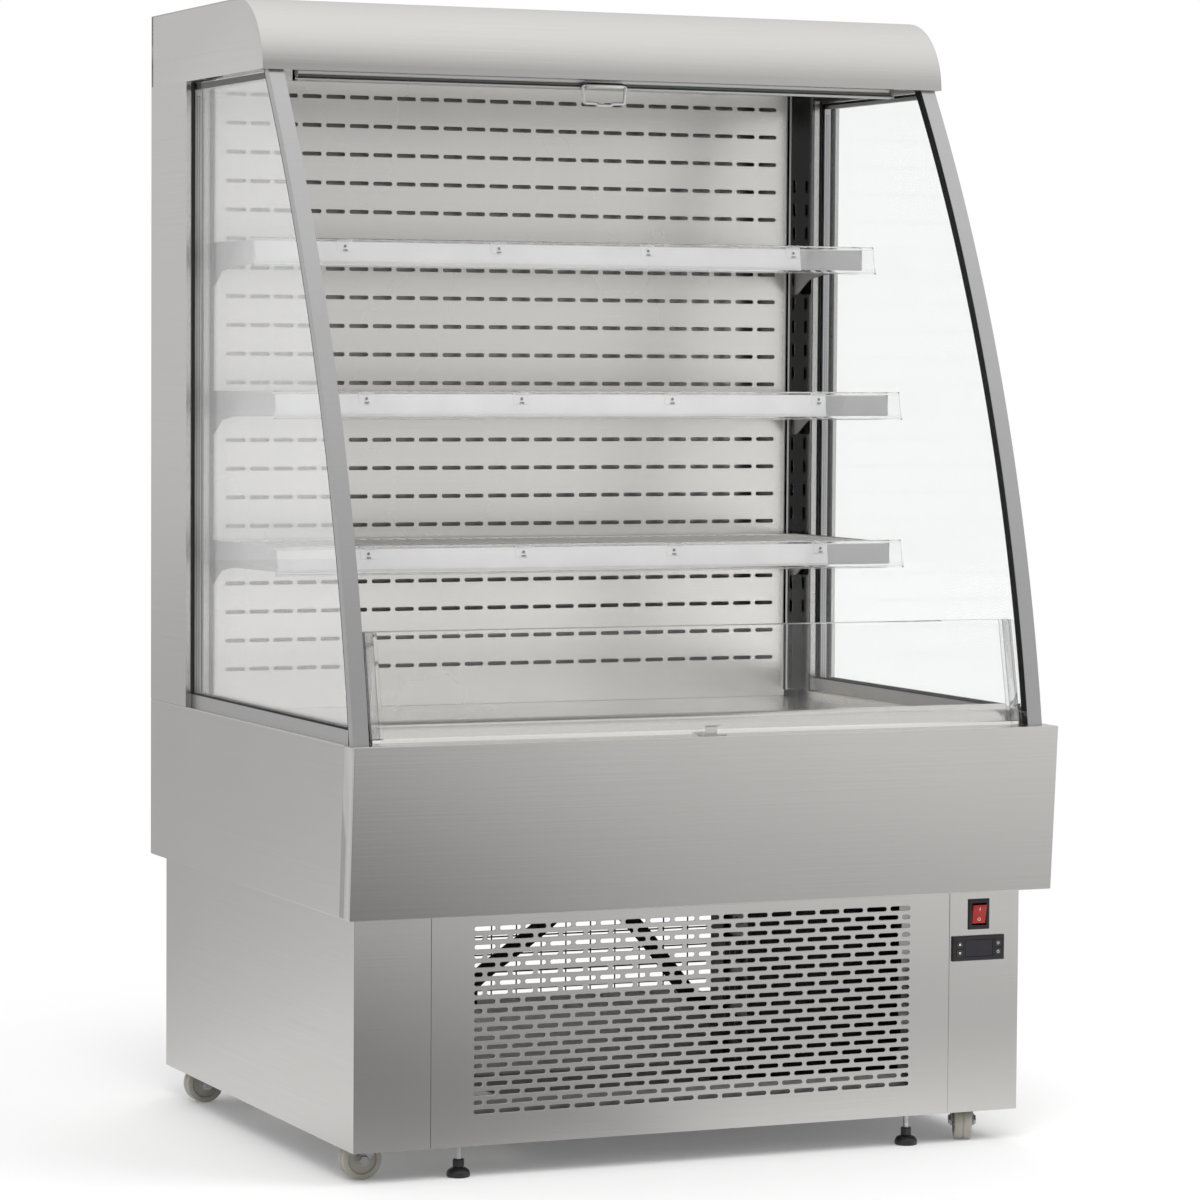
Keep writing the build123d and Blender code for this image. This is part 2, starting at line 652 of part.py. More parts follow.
def evaporator_coil():
    """Fin pack of the evaporator, and the fan plate in front of it."""
    x, z0, z1 = 320.0, BASE_TOP + 38, BASE_TOP + 128
    d0, d1 = 300.0, 420.0
    with BuildPart() as coil:
        with BuildSketch(Plane.XY.offset(z0)):
            with Locations((0, back((d0 + d1) / 2))):
                Rectangle(2 * x, d1 - d0)
                with GridLocations(2 * x / 7, 1, 7, 1):
                    Rectangle(84, d1 - d0 - 12, mode=Mode.SUBTRACT)
        extrude(amount=z1 - z0)
        with BuildSketch(front(500)):
            with Locations((0, (z0 + DECK_Z - 1.5) / 2)):
                Rectangle(860, DECK_Z - 1.5 - z0)
            with Locations((0, FAN_Z)):
                RegularPolygon(66, 20, mode=Mode.SUBTRACT)
                Rectangle(140, 12)
        extrude(amount=2)
        for radius, length in ((22, -24), (SHAFT_R, 17)):
            with BuildSketch(front(500)):
                with Locations((0, FAN_Z)):
                    Circle(radius)
            extrude(amount=length)
    save(coil.part, "evaporator_coil")


def fan_rotor(label, x, d, z, radius, hub, blades=5):
    """Axial rotor: a hub with pitched blades, turning about Y."""
    pitch = radians(32)
    with BuildPart() as rotor:
        with BuildSketch(front(d)):
            with Locations((x, z)):
                Circle(hub)
        extrude(amount=9, both=True)
        with BuildSketch(front(d)):
            with Locations((x, z)):
                Circle(SHAFT_R + FIT)
        extrude(amount=9, both=True, mode=Mode.SUBTRACT)
        for k in range(blades):
            angle = radians(360 / blades * k)
            radial, across = Vector(cos(angle), 0, sin(angle)), Vector(-sin(angle), 0, cos(angle))
            normal = Vector(0, -1, 0) * cos(pitch) + across * sin(pitch)
            blade = Plane(origin=(x, back(d), z), x_dir=radial, z_dir=normal)
            with BuildSketch(blade.offset(-0.8)):
                add(outline((radius * 0.93, 18), (hub - 3, 6), (hub - 3, -6),
                            (radius * 0.93, -18), (radius * 0.97, 0)))
            extrude(amount=1.6)
    save(rotor.part, label)


def condenser_coil():
    """Finned condenser behind the grille with the shroud and motor of its fan."""
    x0, x1, z0, z1, d0, d1 = 100.0, 330.0, TRAY_Z + 1.5, 302.0, 590.0, 650.0
    mid_x, mid_z, shroud = (x0 + x1) / 2, (z0 + z1) / 2, 34.0
    with BuildPart() as coil:
        with BuildSketch(front(d0)):
            with Locations((mid_x, mid_z)):
                Rectangle(x1 - x0, z1 - z0)
                with GridLocations((x1 - x0 - 10) / 6, 1, 6, 1):
                    Rectangle(24, z1 - z0 - 20, mode=Mode.SUBTRACT)
        extrude(amount=d1 - d0)
        with BuildSketch(front(d0)):
            with Locations((mid_x, mid_z)):
                Rectangle(x1 - x0, z1 - z0)
                RegularPolygon(104, 24, mode=Mode.SUBTRACT)
        extrude(amount=-shroud)
        with BuildSketch(front(d0 - shroud)):
            with Locations((mid_x, mid_z)):
                Rectangle(214, 16)
        extrude(amount=-2)
        for radius, length in ((30, -40), (SHAFT_R, 20)):
            with BuildSketch(front(d0 - shroud)):
                with Locations((mid_x, mid_z)):
                    Circle(radius)
            extrude(amount=length)
    save(coil.part, "condenser_coil")


def compressor():
    """Hermetic compressor can on a foot plate with a terminal cover."""
    x, d, z = COMPRESSOR_X, COMPRESSOR_D, TRAY_Z + 1.5
    with BuildPart() as unit:
        with BuildSketch(Plane.XY.offset(z)):
            with Locations((x, back(d))):
                Circle(70)
        extrude(amount=140)
        with BuildSketch(Plane.XY.offset(z)):
            with Locations((x, back(d))):
                Rectangle(190, 120)
        extrude(amount=14)
        with BuildSketch(side(x + 55)):
            with Locations((back(d), z + 70)):
                Rectangle(62, 80)
        extrude(amount=38)
    save(unit.part, "compressor")


def suction_pipe():
    """Two insulated pipes under the well: suction to the compressor, drain to the drip tray."""
    d, top = PIPE_D, BASE_TOP
    suction = [(-18, d, top), (-18, d, 318), (43, d, 250), (122, d, 151),
               (COMPRESSOR_X, d, 151), (COMPRESSOR_X, COMPRESSOR_D + 70.1, 151)]
    drain = [(DRAIN_X, d, top), (DRAIN_X, d, 300), (-112, d, 257), (-181, d, 209),
             (-170, 395, 182), (-170, 395, 156)]
    with BuildPart() as pipes:
        for points in (suction, drain):
            with BuildLine() as route:
                path = Polyline(*[(x, back(distance), z) for x, distance, z in points])
            with BuildSketch(Plane(origin=path @ 0, z_dir=path % 0)):
                Circle(11)
            sweep(path=path, transition=Transition.RIGHT)
    save(pipes.part, "suction_pipe")


def drip_tray():
    """Open condensate tray on the floor of the base."""
    with BuildPart() as tray:
        with BuildSketch(Plane.XY.offset(TRAY_Z + 1.5)):
            with Locations((-3, back(360))):
                Rectangle(390, 140)
        extrude(amount=80.5)
        offset(amount=-3, openings=tray.faces().sort_by(Axis.Z)[-1])
    save(tray.part, "drip_tray")


def cable_gland():
    """Gland in the rear rim of the floor pan where the mains cable enters."""
    with BuildPart() as gland:
        with BuildSketch(front(20)):
            with Locations((380, TRAY_Z + 16)):
                RegularPolygon(13, 6)
        extrude(amount=-16.5)
        with Locations((380, back(20), TRAY_Z + 16)):
            with Locations(Rotation(90, 0, 0)):
                Hole(4.5, depth=40)
    save(gland.part, "cable_gland")


# Switch and controller ------------------------------------------------------

def switch_bezel():
    """Snap-in bezel round the rocker."""
    with BuildPart() as bezel:
        with BuildSketch(front(BASE_DEPTH)):
            with Locations((SWITCH_X, SWITCH_Z)):
                Rectangle(30, 39)
        extrude(amount=2.5)
        chamfer(bezel.faces().sort_by(Axis.Y)[0].edges(), 1)
        with BuildSketch(front(BASE_DEPTH)):
            with Locations((SWITCH_X, SWITCH_Z)):
                Rectangle(26.6, 34.6)
        extrude(amount=-24)
        with BuildSketch(front(BASE_DEPTH + 3)):
            with Locations((SWITCH_X, SWITCH_Z)):
                Rectangle(20.4, 28)
        extrude(amount=-16, mode=Mode.SUBTRACT)
    save(bezel.part, "switch_bezel")


def switch_rocker():
    """Rocker button, tipped so that its upper half stands out."""
    d, half = BASE_DEPTH, 12.0
    with BuildPart() as rocker:
        with BuildSketch(side(SWITCH_X)):
            add(outline((back(d - 8), SWITCH_Z + half - 1), (back(d + 5.5), SWITCH_Z + half),
                        (back(d + 2.6), SWITCH_Z), (back(d + 1.5), SWITCH_Z - half),
                        (back(d - 8), SWITCH_Z - half + 1)))
        extrude(amount=9.6, both=True)
    save(rocker.part, "switch_rocker")


def controller_case():
    """Panel controller: front bezel with pockets for the window and keys, body behind."""
    keys = key_places()
    with BuildPart() as case:
        with BuildSketch(front(BASE_DEPTH)):
            with Locations((CONTROL_X, CONTROL_Z)):
                Rectangle(CONTROL_W, CONTROL_H)
        extrude(amount=4)
        chamfer(case.faces().sort_by(Axis.Y)[0].edges(), 1.2)
        with BuildSketch(front(BASE_DEPTH)):
            with Locations((CONTROL_X, CONTROL_Z)):
                Rectangle(CUT_W - 0.4, CUT_H - 0.4)
        extrude(amount=-56)
        with BuildSketch(front(BASE_DEPTH + 4)):
            with Locations((CONTROL_X, CONTROL_Z)):
                Rectangle(40, 22)
            with Locations(*keys.values()):
                Rectangle(9, 9)
        extrude(amount=-3, mode=Mode.SUBTRACT)
        with BuildSketch(front(BASE_DEPTH + 1)):
            with Locations((CONTROL_X, CONTROL_Z)):
                Rectangle(39.8, 21.8)
        extrude(amount=2.4)
    save(case.part, "controller_case")


def key_places():
    """Middle of each controller key: two left of the window, two right."""
    dx, dz = 27.5, 5.6
    return {
        "up": (CONTROL_X - dx, CONTROL_Z + dz),
        "down": (CONTROL_X - dx, CONTROL_Z - dz),
        "set": (CONTROL_X + dx, CONTROL_Z + dz),
        "power": (CONTROL_X + dx, CONTROL_Z - dz),
    }


def controller_keys():
    """Four sprung keys in the pockets of the controller."""
    for name, place in key_places().items():
        with BuildPart() as key:
            with BuildSketch(front(BASE_DEPTH + 1.8)):
                with Locations(place):
                    Rectangle(8.4, 8.4)
            extrude(amount=2.6)
            chamfer(key.faces().sort_by(Axis.Y)[0].edges(), 0.5)
        save(key.part, f"key_{name}")


# Casters and feet -----------------------------------------------------------

def caster_plane(x, d, heading):
    """Upright plane through a swivel axis: local x runs along the trail, local y up."""
    trail = Vector(cos(radians(heading)), sin(radians(heading)), 0)
    return Plane(origin=(x, back(d), 0), x_dir=trail, z_dir=trail.cross(Vector(0, 0, 1)))


def caster_fork(label, x, d, heading):
    """Folded fork with its king pin and axle bolt."""
    plane = caster_plane(x, d, heading)
    gap, leg, top = WHEEL_W / 2 + 0.9, 2.4, TRAY_Z - 3.3
    with BuildPart() as fork:
        with BuildSketch(plane.offset(-gap - leg)):
            with Locations((1.5, top - 1.75)):
                Rectangle(33, 3.5)
        extrude(amount=2 * (gap + leg))
        with BuildSketch(Plane.XY.offset(top)):
            with Locations((x, back(d))):
                Circle(AXLE_R)
        extrude(amount=8)
        for s in (-1, 1):
            with BuildSketch(plane.offset(s * gap)):
                with BuildLine():
                    Polyline((TRAIL + 7, WHEEL_R - 3), (15, top - 1), (-12, top - 1),
                             (TRAIL - 9, WHEEL_R - 3), (TRAIL - 5, WHEEL_R - 8),
                             (TRAIL + 3, WHEEL_R - 8), close=True)
                make_face()
            extrude(amount=s * leg)
            with BuildSketch(plane.offset(s * (gap + leg))):
                with Locations((TRAIL, WHEEL_R)):
                    RegularPolygon(6.5, 6)
            extrude(amount=s * 3.6)
        with BuildSketch(plane):
            with Locations((TRAIL, WHEEL_R)):
                Circle(AXLE_R)
        extrude(amount=gap + 1, both=True)
    save(fork.part, f"caster_fork_{label}")


def caster_wheel(label, x, d, heading):
    """Nylon wheel that turns on the fork's bolt."""
    with BuildPart() as wheel:
        with BuildSketch(caster_plane(x, d, heading)):
            with Locations((TRAIL, WHEEL_R)):
                Circle(WHEEL_R)
                Circle(AXLE_R + FIT, mode=Mode.SUBTRACT)
        extrude(amount=WHEEL_W / 2, both=True)
    save(wheel.part, f"caster_wheel_{label}")


def levelling_foot(sign, label):
    """Round pad on a threaded stem with a hexagon for the spanner."""
    x, y = sign * FOOT_X, back(FOOT_D)
    with BuildPart() as foot:
        for radius, low, high in ((14.5, 0, 12), (STEM_R, 12, TRAY_Z + 22)):
            with BuildSketch(Plane.XY.offset(low)):
                with Locations((x, y)):
                    Circle(radius)
            extrude(amount=high - low)
        with BuildSketch(Plane.XY.offset(12)):
            with Locations((x, y)):
                RegularPolygon(7.5, 6)
        extrude(amount=10)
    save(foot.part, f"levelling_foot_{label}")


def main():
    base_tray()
    base_side(-1, "base_side_left")
    base_side(1, "base_side_right")
    front_grille()
    rear_guard()
    front_fascia()
    band_side(-1, "band_side_left")
    band_side(1, "band_side_right")
    insulated_tub()
    deck_pan()
    front_sill()
    rear_wall()
    air_panel()
    shelf_uprights()
    canopy_shell()
    canopy_soffit()
    blind_roller()
    blind_fabric()
    blind_pull_bar()
    blind_handle()
    sill_catch()
    for sign, end in ((-1, "left"), (1, "right")):
        side_glass(sign, f"side_glass_{end}")
        glass_trim(sign, f"glass_trim_{end}")
        levelling_foot(sign, end)
    glass_spacers()
    glass_channels()
    front_glass()
    for label, (d, z) in SHELVES.items():
        shelf_grid(label, d, z)
        price_strip(label, d, z)
    shelf_brackets()
    evaporator_coil()
    fan_rotor("evaporator_fan", 0, 513, FAN_Z, 60, 20)
    condenser_coil()
    fan_rotor("condenser_fan", 215, 572, (TRAY_Z + 1.5 + 302) / 2, 98, 26)
    compressor()
    suction_pipe()
    drip_tray()
    cable_gland()
    switch_bezel()
    switch_rocker()
    controller_case()
    controller_keys()
    for label, place in CASTERS.items():
        caster_fork(label, *place)
        caster_wheel(label, *place)


main()
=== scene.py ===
"""Display fridge with curved glazing: finishes, fine parts and a studio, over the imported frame.

Metres, +Z up, open front towards -Y, x = 0 in the middle of the width.
"""
import json
from math import cos, pi, radians, sin, sqrt

import bmesh
import bpy
from bpy.props import FloatProperty, FloatVectorProperty, IntProperty, PointerProperty
from mathutils import Matrix, Vector

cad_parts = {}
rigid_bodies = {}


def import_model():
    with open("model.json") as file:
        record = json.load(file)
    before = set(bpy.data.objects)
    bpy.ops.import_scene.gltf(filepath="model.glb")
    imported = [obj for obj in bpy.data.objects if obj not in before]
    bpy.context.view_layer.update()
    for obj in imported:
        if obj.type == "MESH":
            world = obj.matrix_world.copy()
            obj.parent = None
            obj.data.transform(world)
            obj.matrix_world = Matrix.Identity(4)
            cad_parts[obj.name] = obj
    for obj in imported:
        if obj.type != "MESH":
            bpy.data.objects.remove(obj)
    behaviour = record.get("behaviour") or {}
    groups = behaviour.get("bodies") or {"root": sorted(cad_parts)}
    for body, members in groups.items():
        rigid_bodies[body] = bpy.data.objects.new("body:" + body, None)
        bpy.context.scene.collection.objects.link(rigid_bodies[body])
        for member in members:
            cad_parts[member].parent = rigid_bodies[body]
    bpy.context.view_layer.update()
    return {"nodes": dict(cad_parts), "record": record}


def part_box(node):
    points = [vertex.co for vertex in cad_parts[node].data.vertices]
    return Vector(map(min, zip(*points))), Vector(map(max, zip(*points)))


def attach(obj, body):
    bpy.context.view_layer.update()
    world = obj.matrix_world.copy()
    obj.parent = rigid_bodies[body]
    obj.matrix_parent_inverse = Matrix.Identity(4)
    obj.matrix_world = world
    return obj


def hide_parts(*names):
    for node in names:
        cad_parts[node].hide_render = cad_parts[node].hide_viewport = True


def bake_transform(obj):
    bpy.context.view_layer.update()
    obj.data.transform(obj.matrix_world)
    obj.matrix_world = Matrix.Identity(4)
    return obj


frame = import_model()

bl_info = {
    "name": "Display Fridge",
    "version": (1, 0, 0),
    "blender": (4, 5, 0),
    "location": "3D View > Sidebar > Fridge",
    "description": "Builds the fine parts and finishes of an open display fridge",
    "category": "Object",
}

CABINET = "cabinet"
HALF_DEPTH = 0.395
X, Y, Z = 0, 1, 2
# Distance from the fridge's back to a shelf's front edge, and the height of its wires
SHELVES = {"top": (0.327, 1.151), "middle": (0.408, 0.9563), "bottom": (0.417, 0.7593)}


# Sizes and colours ----------------------------------------------------------

def length(name, description, default):
    return FloatProperty(name=name, description=description, default=default,
                         min=0.0, unit="LENGTH", precision=4)


def count(name, description, default):
    return IntProperty(name=name, description=description, default=default, min=1)


def colour(name, description, default):
    return FloatVectorProperty(name=name, description=description, default=default,
                               size=3, min=0.0, max=1.0, subtype="COLOR")


class FridgeSizes(bpy.types.PropertyGroup):
    """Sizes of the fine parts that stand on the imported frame."""
    sheet: length("Sheet", "Thickness of the stainless sheet", 0.0012)
    grille_pitch: length("Grille pitch", "Slot to slot along a grille row", 0.0333)
    grille_row: length("Grille row", "Row to row of the grille", 0.0112)
    grille_slot: length("Grille slot", "Length of a grille slot", 0.0279)
    grille_high: length("Grille slot height", "Height of a grille slot", 0.0056)
    grille_rows: count("Grille rows", "Rows of grille slots", 21)
    grille_columns: count("Grille columns", "Slots in a full row", 18)
    grille_z: length("Grille height", "Height of the middle row above the floor", 0.1946)
    panel_pitch: length("Air slot pitch", "Slot to slot along an air panel row", 0.03357)
    panel_row: length("Air slot row", "Row to row of the air panel", 0.0381)
    panel_slot: length("Air slot", "Length of an air slot", 0.0272)
    panel_high: length("Air slot height", "Height of an air slot", 0.0052)
    panel_rows: count("Air rows", "Rows of air slots", 21)
    panel_columns: count("Air columns", "Slots in a row", 24)
    panel_z: length("Air slots height", "Height of the lowest row above the floor", 0.5827)


class FridgeColours(bpy.types.PropertyGroup):
    """Colours of the finishes."""
    steel: colour("Stainless", "Brushed stainless sheet", (0.600, 0.588, 0.570))
    aluminium: colour("Aluminium", "Satin anodised profiles", (0.47, 0.47, 0.47))
    black: colour("Black", "Black plastic and powder coat", (0.012, 0.012, 0.013))
    nylon: colour("Nylon", "Grey nylon of the wheels", (0.36, 0.34, 0.30))


def sizes():
    return bpy.context.scene.fridge_sizes


def colours():
    return bpy.context.scene.fridge_colours


# Modelling helpers ----------------------------------------------------------

def back(distance):
    """Y of the plane that stands this far in front of the fridge's back."""
    return HALF_DEPTH - distance


def outline_at(distance, z, offsets):
    """Outline in Y and Z from (forward, up) offsets to a place."""
    return [(back(distance + forward), z + up) for forward, up in offsets]


def deselect():
    if bpy.context.object and bpy.context.object.mode != "OBJECT":
        bpy.ops.object.mode_set(mode="OBJECT")
    bpy.ops.object.select_all(action="DESELECT")


def select_only(*pieces):
    deselect()
    for piece in pieces:
        piece.select_set(True)
    bpy.context.view_layer.objects.active = pieces[0]


def settle():
    """Puts the place, turn and scale of the selected piece into its mesh."""
    bpy.ops.object.transform_apply(location=True, rotation=True, scale=True)


def name_it(name):
    """Names the active piece and its mesh."""
    piece = bpy.context.object
    piece.name = piece.data.name = name
    return piece


def named(name):
    """Names the primitive just added and puts its place into its mesh."""
    settle()
    return name_it(name)


def block(name, low, high):
    """Box between two corners."""
    deselect()
    low, high = Vector(low), Vector(high)
    bpy.ops.mesh.primitive_cube_add(size=1, location=(low + high) / 2, scale=high - low)
    return named(name)


def rod(name, start, end, radius, sides=16):
    """Round bar between two points."""
    deselect()
    start, end = Vector(start), Vector(end)
    turn = (end - start).to_track_quat("Z", "Y").to_euler()
    bpy.ops.mesh.primitive_cylinder_add(vertices=sides, radius=radius, depth=(end - start).length,
                                        location=(start + end) / 2, rotation=turn)
    return named(name)


def ring_bar(name, place, major, minor, major_segments, minor_segments, tilt=pi / 2):
    """Round bar bent to a ring that faces the front."""
    deselect()
    bpy.ops.mesh.primitive_torus_add(
        major_radius=major, minor_radius=minor, major_segments=major_segments,
        minor_segments=minor_segments, location=place, rotation=(tilt, 0, 0))
    return named(name)


def edit(piece, mode="FACE"):
    """Edit mode with nothing selected; gives the mesh to choose from."""
    select_only(piece)
    bpy.ops.object.mode_set(mode="EDIT")
    bpy.ops.mesh.select_mode(type=mode)
    bpy.ops.mesh.select_all(action="DESELECT")
    return bmesh.from_edit_mesh(piece.data)


def choose(piece, elements, test):
    """Selects the elements of the edited mesh that pass the test."""
    for element in elements:
        if test(element):
            element.select_set(True)
    bmesh.update_edit_mesh(piece.data)


def choose_all():
    bpy.ops.mesh.select_all(action="SELECT")


def leave():
    bpy.ops.object.mode_set(mode="OBJECT")


def reshape(piece, step):
    """Moves each vertex of a piece by a step, in edit mode."""
    mesh = edit(piece, "VERT")
    for vertex in mesh.verts:
        step(vertex)
    bmesh.update_edit_mesh(piece.data)
    leave()


def on_all_faces(piece, operator, **settings):
    """Runs an operator of edit mode on the whole piece."""
    edit(piece)
    choose_all()
    operator(**settings)
    leave()


def middle(edge):
    return (edge.verts[0].co + edge.verts[1].co) / 2


def span(edge, axis):
    """How far an edge runs along an axis."""
    return abs(edge.verts[0].co[axis] - edge.verts[1].co[axis])


def bevel_edges(piece, test, width, segments=2):
    """Rounds the edges that pass the test."""
    mesh = edit(piece, "EDGE")
    choose(piece, mesh.edges, test)
    bpy.ops.mesh.bevel(offset=width, segments=segments, affect="EDGES", clamp_overlap=True)
    leave()


def bevel_all(piece, width, segments=2):
    bevel_edges(piece, lambda edge: True, width, segments)


def bevel_along(piece, axis, least, width, segments=2):
    """Rounds the edges that run further than a length along an axis."""
    bevel_edges(piece, lambda edge: span(edge, axis) > least, width, segments)


def apply(piece, kind, **settings):
    """Adds a modifier with its settings and applies it."""
    select_only(piece)
    modifier = piece.modifiers.new(kind.title(), kind)
    for key, value in settings.items():
        setattr(modifier, key, value)
    bpy.ops.object.modifier_apply(modifier=modifier.name)


def cut(piece, cutter):
    """Cuts one closed piece with another."""
    apply(piece, "BOOLEAN", object=cutter, operation="DIFFERENCE", solver="EXACT")
    discard(cutter)


def repeat(piece, number, step):
    """Copies a mesh along a step a number of times."""
    if number > 1:
        apply(piece, "ARRAY", count=number, use_relative_offset=False, use_constant_offset=True,
              constant_offset_displace=step, use_merge_vertices=False)


def join(name, *pieces):
    select_only(*pieces)
    if len(pieces) > 1:
        bpy.ops.object.join()
    return name_it(name)


def weld(piece, distance=1e-5):
    """Merges doubles and turns all faces outwards."""
    edit(piece)
    choose_all()
    bpy.ops.mesh.remove_doubles(threshold=distance)
    bpy.ops.mesh.normals_make_consistent(inside=False)
    leave()


def profile(name, points, axis, low, high):
    """Prism whose outline's corners are given in order round it, extruded along an axis."""
    deselect()
    bpy.ops.mesh.primitive_circle_add(vertices=len(points), fill_type="NGON")
    piece = named(name)
    first, second = [k for k in range(3) if k != axis]
    mesh = edit(piece, "VERT")
    mesh.verts.ensure_lookup_table()
    for vertex, point in zip(mesh.verts, points):
        vertex.co[axis] = low
        vertex.co[first], vertex.co[second] = point
    bmesh.update_edit_mesh(piece.data)
    step = [0.0, 0.0, 0.0]
    step[axis] = high - low
    choose_all()
    bpy.ops.mesh.extrude_region_move(TRANSFORM_OT_translate={"value": step})
    choose_all()
    bpy.ops.mesh.normals_make_consistent(inside=False)
    leave()
    return piece


def turned(name, points, centre=(0, 0, 0), axis=Z, steps=32):
    """Turned piece from (radius, height) points, standing at its centre along an axis."""
    deselect()
    bpy.ops.mesh.primitive_circle_add(vertices=len(points), fill_type="NOTHING")
    piece = named(name)
    mesh = edit(piece, "VERT")
    mesh.verts.ensure_lookup_table()
    for vertex, (radius, height) in zip(mesh.verts, points):
        vertex.co = (radius, 0, height)
    bmesh.update_edit_mesh(piece.data)
    bpy.ops.mesh.select_mode(type="EDGE")
    bpy.ops.mesh.select_all(action="DESELECT")
    choose(piece, bmesh.from_edit_mesh(piece.data).edges,
           lambda edge: all(abs(vertex.co.x) < 1e-9 for vertex in edge.verts))
    bpy.ops.mesh.delete(type="EDGE")
    choose_all()
    bpy.ops.mesh.spin(steps=steps, angle=2 * pi, center=(0, 0, 0), axis=(0, 0, 1))
    leave()
    weld(piece)
    piece.rotation_euler = ((0, pi / 2, 0), (-pi / 2, 0, 0), (0, 0, 0))[axis]
    piece.location = centre
    select_only(piece)
    settle()
    return piece


def tube(name, points, radius, sides=12):
    """Round bar or hose along a smooth line, with its ends closed."""
    curve = bpy.data.curves.new(name, "CURVE")
    curve.dimensions = "3D"
    curve.bevel_depth, curve.bevel_resolution = radius, max(0, sides // 4 - 1)
    curve.use_fill_caps = True
    line = curve.splines.new("NURBS")
    line.points.add(len(points) - 1)
    for place, point in zip(line.points, points):
        place.co = (*point, 1)
    line.order_u, line.use_endpoint_u, line.resolution_u = 3, True, 6
    piece = bpy.data.objects.new(name, curve)
    bpy.context.scene.collection.objects.link(piece)
    select_only(piece)
    bpy.ops.object.convert(target="MESH")
    return bpy.context.object


def copy_of(piece, name, turn=0.0, place=(0, 0, 0)):
    """Copy with its own mesh, turned about the upright axis and moved."""
    select_only(piece)
    bpy.ops.object.duplicate()
    made = name_it(name)
    made.rotation_euler = (0, 0, turn)
    made.location = place
    settle()
    return made


def flipped(piece, scale, place=(0, 0, 0)):
    """Turns a piece over by a negative scale and moves it, without settling it."""
    piece.scale, piece.location = scale, place
    return piece


def mirrored(piece, name):
    """Copy of a piece on the other side of the fridge."""
    made = flipped(copy_of(piece, name), (-1, 1, 1))
    settle()
    weld(made, 1e-7)
    return made


def on_both_sides(name, piece):
    """Joins an unwelded piece with its mirror image, whose faces are flipped outwards again."""
    made = flipped(copy_of(piece, "Other Side"), (-1, 1, 1))
    settle()
    on_all_faces(made, bpy.ops.mesh.flip_normals)
    return join(name, piece, made)


def discard(*pieces):
    for piece in pieces:
        bpy.data.objects.remove(piece)


def coat(piece, material, smooth=35):
    """Gives the piece its material and its slot, and smooths its faces up to an angle."""
    select_only(piece)
    piece.data.materials.clear()
    piece.data.materials.append(bpy.data.materials[material])
    if smooth:
        bpy.ops.object.shade_smooth_by_angle(angle=radians(smooth))


def finish(piece, material, body=CABINET, replaces=(), smooth=35, level=False):
    """Coats the piece and lets it ride on its body; level keeps its broad faces flat."""
    coat(piece, material, smooth)
    if level:
        apply(piece, "WEIGHTED_NORMAL", keep_sharp=True, weight=100)
    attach(piece, body)
    if replaces:
        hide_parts(*replaces)
    return piece


def dress(label, material):
    """Finishes a node of the frame."""
    for slot in frame["nodes"][label].material_slots:
        slot.link = "OBJECT"
        slot.material = bpy.data.materials[material]


# Shader nodes ---------------------------------------------------------------

def feed(tree, socket, value):
    """Links an output to a socket, or sets the socket."""
    if isinstance(value, bpy.types.NodeSocket):
        tree.links.new(value, socket)
    else:
        socket.default_value = value


def node(tree, kind, **values):
    """Adds a node; values feed sockets by name, and set attributes otherwise."""
    made = tree.nodes.new(f"ShaderNode{kind}")
    for key, value in values.items():
        if key in made.inputs:
            feed(tree, made.inputs[key], value)
        else:
            setattr(made, key, value)
    return made


def calculated(tree, kind, operation, *values, **settings):
    """Math or VectorMath node whose sockets are fed in order."""
    made = node(tree, kind, operation=operation, **settings)
    for socket, value in zip(made.inputs, values):
        feed(tree, socket, value)
    return made


def figure(tree, operation, *values, **settings):
    return calculated(tree, "Math", operation, *values, **settings).outputs["Value"]


def remap(tree, value, from_min, from_max, to_min, to_max, **settings):
    """Maps a value from one range onto another."""
    ranges = {"From Min": from_min, "From Max": from_max, "To Min": to_min, "To Max": to_max}
    return node(tree, "MapRange", **settings, Value=value, **ranges).outputs["Result"]


def mixed(tree, share, first, second):
    """Colour between two colours."""
    return node(tree, "MixRGB", Fac=share, Color1=first, Color2=second).outputs["Color"]


def grey(level, *alpha):
    return (level, level, level, *alpha)


def cover(tree, share, shader, over):
    """Lays one shader over another by a share, as the surface."""
    mix = node(tree, "MixShader", Fac=share)
    feed(tree, mix.inputs[1], shader.outputs["BSDF"])
    feed(tree, mix.inputs[2], over)
    feed(tree, tree.nodes["Material Output"].inputs["Surface"], mix.outputs["Shader"])


def group(name, inputs, outputs):
    """Empty shader group with float inputs {name: default} and outputs {name: type}."""
    tree = bpy.data.node_groups.new(name, "ShaderNodeTree")
    for key, default in inputs.items():
        socket = tree.interface.new_socket(key, in_out="INPUT", socket_type="NodeSocketFloat")
        socket.default_value = default
    for key, kind in outputs.items():
        tree.interface.new_socket(key, in_out="OUTPUT", socket_type=f"NodeSocket{kind}")
    return tree, tree.nodes.new("NodeGroupInput").outputs, tree.nodes.new("NodeGroupOutput").inputs


